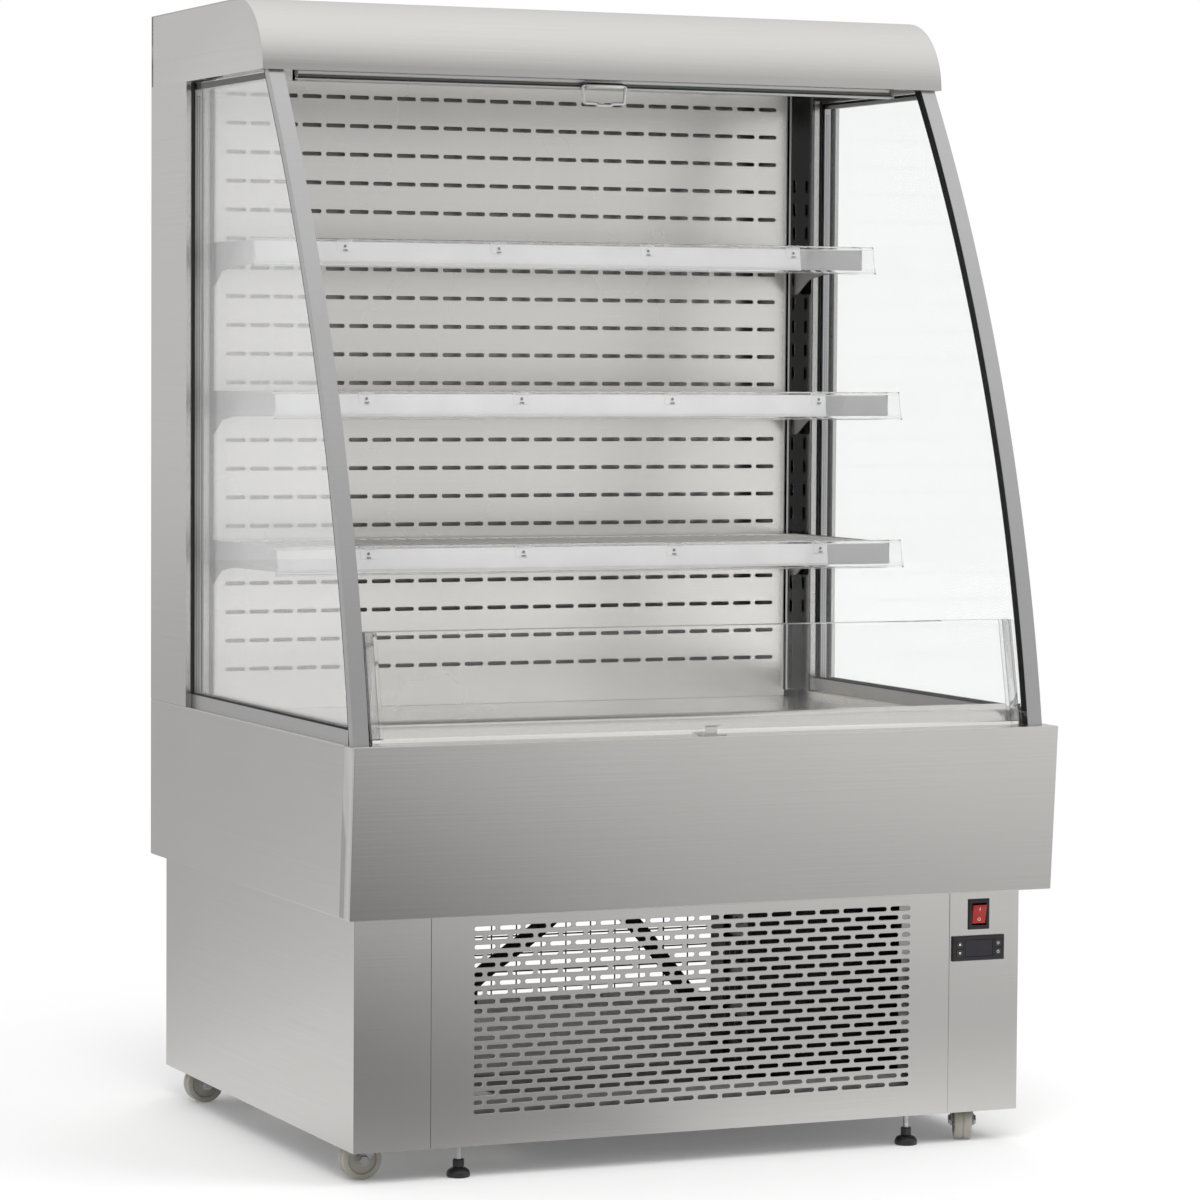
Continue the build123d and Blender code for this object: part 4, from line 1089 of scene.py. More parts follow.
class FRIDGE_OT_glazing(bpy.types.Operator):
    """Spacer bars with their dotted faces, sealant, gaskets and the edges of the front pane"""
    bl_idname = "fridge.glazing"
    bl_label = "Glazing"

    inner, outer, pane = 0.4479, 0.4648, 0.004
    low, high, rear = 0.5438, 1.3530, 0.144
    bed_deep, bar_deep, dot_pitch, dot_margin = 0.0035, 0.0080, 0.0032, 0.012
    seat_z, lip_z, gasket_low, gasket_high = 0.5540, 0.5570, 0.5545, 1.3555

    def execute(self, context):
        self.spacers()
        self.gaskets()
        self.front_pane()
        self.blocks()
        return {"FINISHED"}

    def spacers(self):
        """Hollow bar round the gap between the panes, on a bed of black sealant."""
        x0, x1 = self.inner + self.pane, self.outer - self.pane
        low, high, rear = self.low, self.high, self.rear
        bars, beds, dots = [], [], []
        for parts, near, far in ((beds, 0.0, self.bed_deep), (bars, self.bed_deep, self.bar_deep)):
            parts.append(curved_strip("Front Bar", x0, x1, 0.005 + near, far - near, low + near,
                                      high - near))
            parts.append(block("Rear Bar", (x0, back(rear + far), low + near),
                               (x1, back(rear + near), high - near)))
            for z0, z1 in ((low + near, low + far), (high - far, high - near)):
                parts.append(block("Level Bar", (x0, curve_y(z0, 0.010), z0),
                                   (x1, back(rear + near), z1)))
        deselect()
        bpy.ops.mesh.primitive_circle_add(vertices=6, radius=0.0009, fill_type="NGON",
                                          rotation=(pi / 2, 0, 0))
        dot = named("Spacer Dot")
        number = int((high - low - 2 * self.dot_margin) / self.dot_pitch)
        x, face = (x0 + x1) / 2, back(rear + self.bar_deep) - 0.00002
        for aside in (-0.0016, 0.0016):
            row = copy_of(dot, "Spacer Dots", 0, (x + aside, face, low + self.dot_margin))
            repeat(row, number, (0, 0, self.dot_pitch))
            dots.append(row)
        discard(dot)
        for title, parts, slot, material in (("bars", bars, "aluminium", "Spacer Metal"),
                                             ("sealant", beds, "foam_rubber", "Black Rubber"),
                                             ("dots", dots, "foam_rubber", "Black Rubber")):
            name = f"glass_spacers_{title}"
            finish(on_both_sides(name, join(name, *parts)), material, smooth=25,
                   replaces=("glass_spacers",) if title == "bars" else ())

    def gaskets(self):
        """Rubber lips along the trims, the channels and the pillars' notches, and a black strip
        over each trim's inner face as painted shade.
        """
        low, high, inner, outer = self.gasket_low, self.gasket_high, self.inner, self.outer
        parts = [curved_strip("Trim Lip", x0, x1, 0.0125, 0.0030, low, high)
                 for x0, x1 in ((outer, outer + 0.0016), (inner - 0.0016, inner))]
        # Black strip over the trim's inner face, standing in for the dark interior that the face
        # mirrors: painted shade
        parts.append(curved_strip("Trim Shade Strip", inner - 0.0023, inner - 0.0017, 0.0012, 0.0118,
                                  low, high))
        end = curve_y(low, 0.0160)
        for x0, x1 in ((outer, outer + 0.0012), (inner - 0.0014, inner)):
            parts.append(block("Channel Lip", (x0, end, self.seat_z), (x1, back(0.128), 0.5568)))
        for x0, x1, deep in ((outer, outer + 0.0021, 0.1560), (inner - 0.0021, inner, 0.1530)):
            parts.append(block("Pillar Lip", (x0, back(deep), self.lip_z), (x1, back(0.129), high)))
        for part in parts:
            bevel_edges(part, lambda edge: edge.calc_face_angle(0) > 1.2, 0.0004)
        gaskets = on_both_sides("side_glass_gaskets", join("side_glass_gaskets", *parts))
        finish(gaskets, "Black Rubber", smooth=40)

    def front_pane(self):
        """Leaning pane with ground edges, a clear seal at both ends and a bright seat."""
        (top_d, top_z), (foot_d, foot_z), thick, x = (0.7225, 0.6702), (0.750, 0.5378), 0.006, 0.438
        ground, film = 0.0010, 0.0001
        front, rear = ground * 0.7, thick - ground * 0.7
        pane = [(back(foot_d), foot_z), (back(top_d + ground * 0.2), top_z - ground)]
        pane += outline_at(top_d, top_z, [(-ground, 0), (ground - thick, 0), (-thick, -ground)])
        pane.append((back(foot_d - thick), foot_z))
        finish(profile("front_glass_pane", pane, X, -x, x), "Clear Glass",
               replaces=("front_glass",), smooth=20)
        edge = outline_at(top_d, top_z, [(-front, film), (-rear, film), (-rear, -film),
                                         (-front, -film)])
        finish(profile("front_glass_ground", edge, X, -x + 0.0005, x - 0.0005),
               "Ground Glass", smooth=0)
        lean, seals = (foot_d - top_d) / (top_z - foot_z), []

        def at(forward, z):
            return (back(top_d + (top_z - z) * lean + forward), z)

        low, high = foot_z + 0.001, top_z - 0.0004
        for x0, x1, ahead in ((x - 0.0150, x + 0.0060, 0.0012), (x - 0.0100, x + 0.0020, 0.0024)):
            section = [at(0.0001, low), at(ahead, low), at(ahead, high), at(0.0001, high)]
            seals.append(profile("End Seal", section, X, x0, x1))
            bevel_edges(seals[-1], lambda edge: edge.calc_length() > 0.05, 0.0003)
        seals = on_both_sides("front_glass_seals", join("front_glass_seals", *seals))
        finish(seals, "Clear Plastic", smooth=30)
        section = [at(0.0002, foot_z), at(0.0022, foot_z), at(0.0018, foot_z + 0.0040),
                   at(0.0002, foot_z + 0.0052)]
        # The seat takes the lighter stainless: painted light
        finish(profile("front_glass_seat", section, X, -x, x), "Stainless Painted Light",
               smooth=30)

    def blocks(self):
        """Notched black end block at the foot of each curved trim."""
        z0, z1, step, inset, deep = 0.5380, 0.5520, 0.5480, 0.0008, 0.024
        outline = [(curve_y(z0, inset), z0), (curve_y(z0, deep), z0), (curve_y(z1, deep), z1),
                   (curve_y(z1, 0.010), z1), (curve_y(z1, 0.010), step), (curve_y(z1, inset), step)]
        right = profile("End Block", outline, X, 0.4452, 0.4462)
        finish(on_both_sides("glass_channel_blocks", right), "Black Plastic",
               smooth=30)


# Controls -------------------------------------------------------------------

class FRIDGE_OT_controls(bpy.types.Operator):
    """Rocker switch with its line and ring, controller window, frame and key signs"""
    bl_idname = "fridge.controls"
    bl_label = "Controls"

    front, plate_front, rocker_x, rocker_z, half = 0.731, 0.7312, 0.3949, 0.2946, 0.012
    # Forward of the panel, and height as a share of half the rocker
    rocker_face = ((0.0055, 1), (0.0043, 0.6), (0.0033, 0.25), (0.0026, 0), (0.0021, -0.3),
                   (0.0017, -0.65), (0.0015, -1))
    window_x, window_z, window_wide, window_high = 0.3940, 0.2514, 0.0196, 0.0106

    def execute(self, context):
        self.rocker()
        self.signs()
        self.case("switch_bezel", 0.0, 0.0005)
        self.case("controller_case", 0.002, 0.0004)
        self.window()
        for key in ("up", "down", "set", "power"):
            self.key(key)
        return {"FINISHED"}

    def rocker(self):
        x, z, d, half = self.rocker_x, self.rocker_z, self.front, self.half
        face = [(forward, half * share) for forward, share in self.rocker_face]
        outline = outline_at(d, z, [(-0.008, half - 0.001), *face, (-0.008, 0.001 - half)])
        rocker = profile("switch_rocker_button", outline, X, x - 0.0096, x + 0.0096)
        bevel_edges(rocker, lambda edge: edge.calc_face_angle(0) > 0.6
                    and middle(edge).y < back(d - 0.002), 0.0006)
        finish(rocker, "Red Lens", "switch_rocker", ("switch_rocker",))

    def signs(self):
        """Line and ring, which lie on the rocker's dished face."""
        x, z, d = self.rocker_x, self.rocker_z, self.front
        line = block("Line", (x - 0.0005, back(d + 0.0042), z + 0.0045),
                     (x + 0.0005, back(d + 0.0036), z + 0.0085))

        def lay(vertex):
            rise = (vertex.co.z - z) / self.half
            proud = 0.00012 if vertex.co.y < back(d + 0.0039) else -0.0003
            vertex.co.y = back(d + 0.0026 + 0.0029 * rise ** 1.1) - proud

        reshape(line, lay)
        ring = ring_bar("Ring", (x, back(d + 0.0018), z - 0.0062), 0.0020, 0.00045, 28, 8,
                        pi / 2 - 0.07)
        finish(join("switch_rocker_signs", line, ring), "Sign White",
               "switch_rocker")

    def case(self, label, shortest, width):
        """Moulded case with its front edges rounded."""
        case = node_copy(label, f"{label}_moulded")
        bevel_edges(case, lambda edge: edge.is_convex and edge.calc_face_angle(0) > 0.3
                    and middle(edge).y < back(self.plate_front)
                    and edge.calc_length() > shortest, width)
        finish(case, "Black Plastic", replaces=(label,), level=True)

    def window(self):
        x, z, d = self.window_x, self.window_z, self.front
        wide, high = self.window_wide, self.window_high
        window = block("controller_window", (x - wide, back(d + 0.0038), z - high),
                       (x + wide, back(d + 0.0034), z + high))
        bevel_edges(window, lambda edge: middle(edge).y < back(d + 0.0037), 0.0002, 1)
        finish(window, "Display Lens")

    def key(self, key):
        body = f"key_{key}"
        low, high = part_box(body)
        front = low.y + 1e-5
        cap = block(f"{body}_cap", low, high)
        bevel_along(cap, Y, 0.001, 0.0012, 3)
        bevel_edges(cap, lambda edge: all(v.co.y < front for v in edge.verts), 0.0004)
        finish(cap, "Key Plastic", body, (body,))
        finish(self.sign(key, (low + high) / 2, low.y), "Sign White", body)

    def sign(self, key, centre, y):
        """Raised arrow, dotted ring or power sign on a key."""
        x, z, size, front, sunk = centre.x, centre.z, 0.0018, y - 0.00010, y + 0.0002
        name = f"key_{key}_sign"
        if key in ("up", "down"):
            rise = size if key == "up" else -size
            arrow = [(x - size, z - rise * 0.7), (x + size, z - rise * 0.7), (x, z + rise)]
            return profile(name, arrow, Y, front, sunk)
        ring = ring_bar(name, (x, y, z), size * 0.85, 0.00022, 24, 6)
        if key == "set":
            return join(name, ring, rod("Dot", (x, front, z), (x, sunk, z), 0.0005, 12))
        return join(name, ring, block("Bar", (x - 0.0002, y - 0.00025, z + 0.0002),
                                      (x + 0.0002, sunk, z + 0.0021)))


# Casters and feet -----------------------------------------------------------

# Place across, distance from the back, and heading in degrees
CASTERS = {"front_left": (-0.402, 0.675, 180.0), "front_right": (0.402, 0.675, -113.4),
           "rear_left": (-0.402, 0.073, 180.0), "rear_right": (0.402, 0.073, 180.0)}


class FRIDGE_OT_casters(bpy.types.Operator):
    """Swivel casters: pressed fork, ball race, axle with nuts, and a grooved nylon wheel"""
    bl_idname = "fridge.casters"
    bl_label = "Casters"

    trail, radius, half, gap, leg, top = 0.022, 0.025, 0.011, 0.0119, 0.0024, 0.0667
    # Corners of a fork leg: round the axle, from its centre, and under the plate, from the king pin
    axle_end = [(-0.0085, 0.0010), (-0.0075, -0.0050), (-0.0040, -0.0078), (0.0020, -0.0078),
                (0.0060, -0.0045), (0.0065, 0.0020)]
    plate_end = [(0.0150, -0.0060), (0.0150, -0.0005), (-0.0140, -0.0005), (-0.0140, -0.0070)]
    nut = [(0, 0), (0.0064, 0), (0.0064, 0.0026), (0.0055, 0.0034), (0, 0.0034)]
    washer = [(0, 0), (0.0078, 0), (0.0078, 0.0007), (0, 0.0007)]
    race = [(0, -0.0002), (0.0155, -0.0002), (0.0172, 0.0008), (0.0172, 0.0018), (0.0150, 0.0030),
            (0, 0.0030)]

    def execute(self, context):
        fork, wheel = self.fork(), self.wheel()
        for label, (x, distance, heading) in CASTERS.items():
            for made, part, look, slot, material in (
                    (fork, "fork", "pressed", "galvanised", "Zinc"),
                    (wheel, "wheel", "moulded", "nylon", "Nylon")):
                body = f"caster_{part}_{label}"
                made = copy_of(made, f"{body}_{look}", radians(heading), (x, back(distance), 0))
                finish(made, material, body, (body,))
        discard(fork, wheel)
        return {"FINISHED"}

    def fork(self):
        t, r, top, gap, out = self.trail, self.radius, self.top, self.gap, self.gap + self.leg
        outline = [(x, top + z) for x, z in self.plate_end]
        outline += [(t + x, r + z) for x, z in self.axle_end]
        parts = []
        for side in (-1, 1):
            plate = profile("Fork Leg", outline, Y, *sorted((side * gap, side * out)))
            bevel_edges(plate, lambda edge: span(edge, Y) < 1e-6, 0.0006)
            nut = turned("Axle Nut", self.nut, (t, side * out, r), Y, 6)
            if side < 0:
                flipped(nut, (1, -1, 1), (0, -2 * out, 0))
            inner = side * out - (0.0007 if side < 0 else 0)
            parts += [plate, nut, turned("Washer", self.washer, (t, inner, r), Y, 24)]
        bridge = block("Fork Bridge", (-0.0150, -out, top - 0.0033), (0.0175, out, top))
        bevel_edges(bridge, lambda edge: abs(middle(edge).y) > gap and middle(edge).z > top - 0.001,
                    0.0016, 3)
        parts += [bridge, turned("Ball Race", [(x, top + z) for x, z in self.race]),
                  rod("Axle", (t, -gap - 0.001, r), (t, gap + 0.001, r), 0.0040, 24),
                  rod("King Pin", (0, 0, top), (0, 0, top + 0.008), 0.0040, 24)]
        fork = join("Fork", *parts)
        settle()
        weld(fork, 1e-7)
        return fork

    def wheel(self):
        """Wheel with recessed faces and a grooved tread, from the section of one of its halves."""
        r, half = self.radius, self.half
        section = [(0.00405, half), (0.0075, half), (0.0082, half - 0.0008),
                   (0.0086, half - 0.0026), (0.0170, half - 0.0026),
                   (0.0178, half - 0.0008), (0.0185, half),
                   (r - 0.0016, half), (r - 0.0004, half - 0.0006), (r, half - 0.0020),
                   (r, 0.0014), (r - 0.0010, 0.0008)]
        section = [(x, -z) for x, z in section] + section[::-1]
        return turned("Wheel", section, (self.trail, 0, r), Y, 48)


class FRIDGE_OT_feet(bpy.types.Operator):
    """Levelling feet: domed pad, hexagon and threaded stem"""
    bl_idname = "fridge.feet"
    bl_label = "Levelling feet"

    x, distance = 0.307, 0.706
    pad = [(0, 0), (0.0132, 0), (0.0145, 0.0012), (0.0145, 0.0050), (0.0138, 0.0072),
           (0.0120, 0.0095), (0.0092, 0.0112), (0.0070, 0.0118), (0, 0.0118)]
    nut = [(0, 0.0118), (0.0068, 0.0118), (0.0075, 0.0126), (0.0075, 0.0212), (0.0068, 0.0220),
           (0, 0.0220)]
    core, crest, pitch, turns, foot, top = 0.0034, 0.0040, 0.0015, 34, 0.0220, 0.092

    def execute(self, context):
        thread = [(0, self.foot)]
        for k in range(self.turns):
            z = self.foot + k * self.pitch
            thread += [(self.core, z), (self.crest, z + 0.35 * self.pitch),
                       (self.crest, z + 0.65 * self.pitch)]
        thread += [(self.core, self.foot + self.turns * self.pitch), (self.core, self.top),
                   (0, self.top)]
        pad = join("Pad And Nut", turned("Pad", self.pad), turned("Foot Nut", self.nut, steps=6))
        stem = turned("Stem", thread, steps=16)
        for side, label in ((-1, "left"), (1, "right")):
            place = (side * self.x, back(self.distance), 0)
            body = f"levelling_foot_{label}"
            finish(copy_of(pad, f"{body}_pad", 0, place), "Foot Plastic", body,
                   (body,))
            finish(copy_of(stem, f"{body}_stem", 0, place), "Bright Steel", body)
        discard(pad, stem)
        return {"FINISHED"}


# Night blind ----------------------------------------------------------------

class FRIDGE_OT_blind(bpy.types.Operator):
    """Night blind: wound cloth on its tube, the free cloth, pull bar and bail handle"""
    bl_idname = "fridge.blind"
    bl_label = "Night blind"

    axis_y, axis_z, core, outside = back(0.380), 1.398, 0.0130, 0.0198
    cloth_reach, cloth_thick, turns, steps = 0.411, 0.00035, 10, 24
    # Half of the tube with its end plug and pin, from the middle outwards
    tube_half = [(0.0130, 0.4155), (0.0125, 0.416), (0.0125, 0.420), (0.0115, 0.421),
                 (0.0050, 0.421), (0.0050, 0.4695), (0.0045, 0.470), (0, 0.470)]
    bar_d, bar_z, bar_reach = 0.415, 1.354, 0.421
    bar_section = [(0.0048, -0.0040), (0.0030, -0.0040), (0.0030, -0.0012), (0.0024, -0.0012),
                   (0.0024, 0.0002), (0.0030, 0.0002), (0.0030, 0.0100), (0.0020, 0.0110),
                   (-0.0030, 0.0110), (-0.0040, 0.0100), (-0.0040, -0.0080), (-0.0030, -0.0090),
                   (0.0048, -0.0090), (0.0060, -0.0082), (0.0067, -0.0065), (0.0060, -0.0048)]
    hinge_z, hinge_radius, hinge_sides = 1.350, 0.0040, 20
    bail_x, bail_low, bail_radius = 0.0300, 0.0254, 0.0021

    def execute(self, context):
        self.roll()
        self.cloth()
        self.bar()
        self.handle()
        return {"FINISHED"}

    def roll(self):
        """Tube with end plugs and pins, and the cloth wound on it as a spiral."""
        start = self.core + 0.0004
        gap = (self.outside - start) / self.turns
        outer, inner = [], []
        for k in range(self.turns * self.steps + 1):
            angle, radius = -2 * pi * k / self.steps, start + gap * k / self.steps
            for line, r in ((outer, radius), (inner, radius - self.cloth_thick)):
                line.append((self.axis_y + r * cos(angle), self.axis_z + r * sin(angle)))
        reach = self.cloth_reach
        spiral = profile("blind_roller_cloth", outer + inner[::-1], X, -reach, reach)
        finish(spiral, "Blind Cloth", "blind_roller", smooth=30)
        section = [(r, -x) for r, x in self.tube_half[::-1]] + self.tube_half
        core = turned("blind_roller_tube", section, (0, self.axis_y, self.axis_z), X, 48)
        finish(core, "Aluminium", "blind_roller", ("blind_roller",))

    def cloth(self):
        """Free cloth from the roll down to the pull bar."""
        reach = self.cloth_reach
        top = (self.axis_y - self.outside - 0.0008, self.axis_z)
        foot = (back(0.4153), 1.3656)
        deselect()
        bpy.ops.mesh.primitive_grid_add(x_subdivisions=60, y_subdivisions=12, size=1)
        sheet = named("blind_fabric_sheet")

        def hang(vertex):
            across, down = vertex.co.x * 2 * reach, 0.5 - vertex.co.y
            sag = 0.0006 * sin(pi * down) * (1 + 0.5 * sin(across * 46))
            vertex.co = (across, top[0] + (foot[0] - top[0]) * down + sag,
                         top[1] + (foot[1] - top[1]) * down)

        reshape(sheet, hang)
        apply(sheet, "SOLIDIFY", thickness=self.cloth_thick, offset=0)
        coat(sheet, "Blind Cloth", 40)
        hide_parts("blind_fabric")
        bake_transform(sheet)

    def bar(self):
        d, z, reach = self.bar_d, self.bar_z, self.bar_reach
        section = outline_at(d, z, self.bar_section)
        bar = profile("blind_pull_bar_profile", section, X, -reach, reach)
        bevel_along(bar, X, 0.1, 0.0003)
        finish(bar, "Spacer Metal", "blind_pull_bar", ("blind_pull_bar",))
        caps = []
        for x0, x1 in ((-reach, -reach + 0.0040), (reach - 0.0040, reach)):
            caps.append(block("Bar Cap", (x0, back(d + 0.0062), z - 0.0094),
                              (x1, back(d - 0.0044), z + 0.0112)))
            bevel_all(caps[-1], 0.0006)
        finish(join("blind_pull_bar_caps", *caps), "Grey Plastic",
               "blind_pull_bar")
        plate = block("Plate", (-0.0245, back(d + 0.0050), z - 0.0080),
                      (0.0245, back(d + 0.0031), z + 0.0100))
        bevel_all(plate, 0.0005)
        r, sides = self.hinge_radius, self.hinge_sides
        centre = back(d + 0.0090)
        circle = [(centre + r * cos(2 * pi * k / sides), self.hinge_z + r * sin(2 * pi * k / sides))
                  for k in range(sides)]
        curl = profile("Hinge Curl", circle, X, -0.026, 0.026)
        bevel_edges(curl, lambda edge: span(edge, X) < 1e-6, 0.0004)
        screws = [screw("Plate Screw", (x, back(d + 0.0050), z + 0.0062), 0.0026)
                  for x in (-0.0175, 0.0175)]
        finish(join("blind_pull_bar_plate", plate, curl, *screws), "Bright Steel",
               "blind_pull_bar")

    def handle(self):
        d, x, pivot = self.bar_d + 0.009, self.bail_x, self.hinge_z
        low = pivot - self.bail_low
        route = [(-x + 0.0075, pivot), (-x + 0.002, pivot), (-x, pivot), (-x, pivot - 0.003),
                 (-x + 0.0014, low + 0.010), (-x + 0.0020, low + 0.0030),
                 (-x + 0.0050, low + 0.0026), (-0.0140, low + 0.0026), (-0.0110, low + 0.0020),
                 (-0.0095, low), (-0.0050, low)]
        points = [(across, back(d), up) for across, up in route]
        points += [(-across, y, up) for across, y, up in reversed(points)]
        bail = tube("blind_handle_bail", points, self.bail_radius, 12)
        finish(bail, "Bright Steel", "blind_handle", ("blind_handle",), smooth=60)


def screw(name, place, radius):
    """Domed screw head that faces the front."""
    head = turned(name, [(0, 0), (radius, 0), (radius * 0.95, radius * 0.25),
                         (radius * 0.7, radius * 0.45), (0, radius * 0.55)], axis=Y, steps=20)
    head.rotation_euler = (0, 0, pi)
    head.location = place
    select_only(head)
    settle()
    return head


# Machinery ------------------------------------------------------------------

class FRIDGE_OT_compressor(bpy.types.Operator):
    """Hermetic compressor: domed can with its weld seam, feet, terminal cover and stubs"""
    bl_idname = "fridge.compressor"
    bl_label = "Compressor"

    place = (0.300, back(0.330), 0.0715)
    can = [(0, 0.010), (0.050, 0.010), (0.062, 0.016), (0.068, 0.028), (0.0690, 0.040),
           (0.0690, 0.078), (0.0700, 0.0785), (0.0700, 0.0850), (0.0680, 0.0856), (0.0672, 0.100),
           (0.0640, 0.118), (0.0560, 0.131), (0.0400, 0.138), (0.0200, 0.1398), (0, 0.140)]
    grommet = [(0.0035, 0), (0.0090, 0), (0.0100, 0.0010), (0.0100, 0.0045), (0.0065, 0.0052),
               (0.0065, 0.0085), (0.0090, 0.0092), (0.0090, 0.0140), (0.0035, 0.0140)]
    bolt_x, bolt_y = 0.083, 0.048

    def execute(self, context):
        x, y, z = self.place
        can = turned("Can", self.can, self.place, Z, 64)
        cover = block("compressor_cover", (x + 0.060, y - 0.031, z + 0.030),
                      (x + 0.093, y + 0.031, z + 0.110))
        bevel_all(cover, 0.005, 4)
        stubs = [rod("Stub", (x - 0.066, y - 0.020, z + 0.050),
                     (x - 0.084, y - 0.020, z + 0.050), 0.004),
                 rod("Stub", (x - 0.060, y + 0.022, z + 0.112),
                     (x - 0.080, y + 0.022, z + 0.118), 0.005)]
        feet = block("Foot Plate", (x - 0.095, y - 0.060, z + 0.006),
                     (x + 0.095, y + 0.060, z + 0.009))
        bevel_along(feet, Z, 0.001, 0.014, 4)
        finish(join("compressor_can", can, *stubs, feet), "Black Coat",
               replaces=("compressor",))
        finish(cover, "Black Plastic")
        pad = turned("Grommet", self.grommet, steps=20)
        pads = [copy_of(pad, "Grommet", 0, (x + across * self.bolt_x, y + deep * self.bolt_y, z))
                for across in (-1, 1) for deep in (-1, 1)]
        discard(pad)
        finish(join("compressor_grommets", *pads), "Black Rubber")
        return {"FINISHED"}


class FRIDGE_OT_hose(bpy.types.Operator):
    """Insulated suction pipe to the compressor and the drain hose to the drip tray"""
    bl_idname = "fridge.hose"
    bl_label = "Insulated pipes"

    radius, tie_z = 0.0108, 0.331
    tie = [(0.0106, 0), (0.0113, 0.0004), (0.0113, 0.0036), (0.0106, 0.0040)]

    def execute(self, context):
        y, x, rear = back(0.460), 0.300, back(0.400)
        suction = [(-0.018, y, 0.340), (-0.018, y, 0.322), (-0.002, y, 0.300), (0.045, y, 0.256),
                   (0.088, y, 0.201), (0.120, y, 0.162), (0.150, y, 0.151), (0.240, y, 0.151),
                   (x - 0.012, y, 0.151), (x, y + 0.010, 0.151), (x, rear - 0.006, 0.151),
                   (x, rear, 0.151)]
        drain = [(-0.060, y, 0.340), (-0.060, y, 0.318), (-0.066, y, 0.292), (-0.110, y, 0.257),
                 (-0.150, y, 0.231), (-0.178, y + 0.010, 0.207), (-0.174, y + 0.048, 0.190),
                 (-0.170, back(0.395), 0.176), (-0.170, back(0.395), 0.156)]
        hoses = [tube("Pipe", route, self.radius, 20) for route in (suction, drain)]
        tie = turned("Pipe Tie", self.tie, steps=24)
        ties = [copy_of(tie, "Pipe Tie", 0, (route[0][0], y, self.tie_z))
                for route in (suction, drain)]
        discard(tie)
        finish(join("suction_pipe_insulated", *hoses), "Black Rubber",
               replaces=("suction_pipe",), smooth=60)
        finish(join("suction_pipe_ties", *ties), "Black Plastic")
        return {"FINISHED"}


class FRIDGE_OT_tray(bpy.types.Operator):
    """Frosted drip tray with drafted walls, a rolled rim and rounded corners"""
    bl_idname = "fridge.tray"
    bl_label = "Drip tray"

    draft_x, draft_y, wall, rim, rim_high = 0.985, 0.960, 0.0018, 0.0040, 0.0030
    corner, foot_corner, rim_corner = 0.012, 0.004, 0.0085

    def execute(self, context):
        low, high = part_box("drip_tray")
        centre = (low + high) / 2
        tray = block("Tray", low, high)
        bevel_along(tray, Z, 0.01, self.corner, 5)
        mesh = edit(tray, "FACE")
        choose(tray, mesh.faces, lambda face: face.normal.z > 0.9)
        bpy.ops.mesh.delete(type="FACE")
        leave()

        def draft(vertex):
            if vertex.co.z < centre.z:
                vertex.co.x = centre.x + (vertex.co.x - centre.x) * self.draft_x
                vertex.co.y = centre.y + (vertex.co.y - centre.y) * self.draft_y

        reshape(tray, draft)
        bevel_edges(tray, lambda edge: middle(edge).z < low.z + 1e-5 and not edge.is_boundary,
                    self.foot_corner, 3)
        apply(tray, "SOLIDIFY", thickness=self.wall, offset=-1)
        rim = block("Rim", (low.x, low.y, high.z - self.rim_high), high)
        inside = block("Rim Inside", (low.x + self.rim, low.y + self.rim, high.z - 0.01),
                       (high.x - self.rim, high.y - self.rim, high.z + 0.01))
        bevel_along(rim, Z, 0.002, self.corner, 5)
        bevel_along(inside, Z, 0.002, self.rim_corner, 5)
        cut(rim, inside)
        finish(join("drip_tray_moulded", tray, rim), "Frosted Plastic",
               replaces=("drip_tray",))
        return {"FINISHED"}


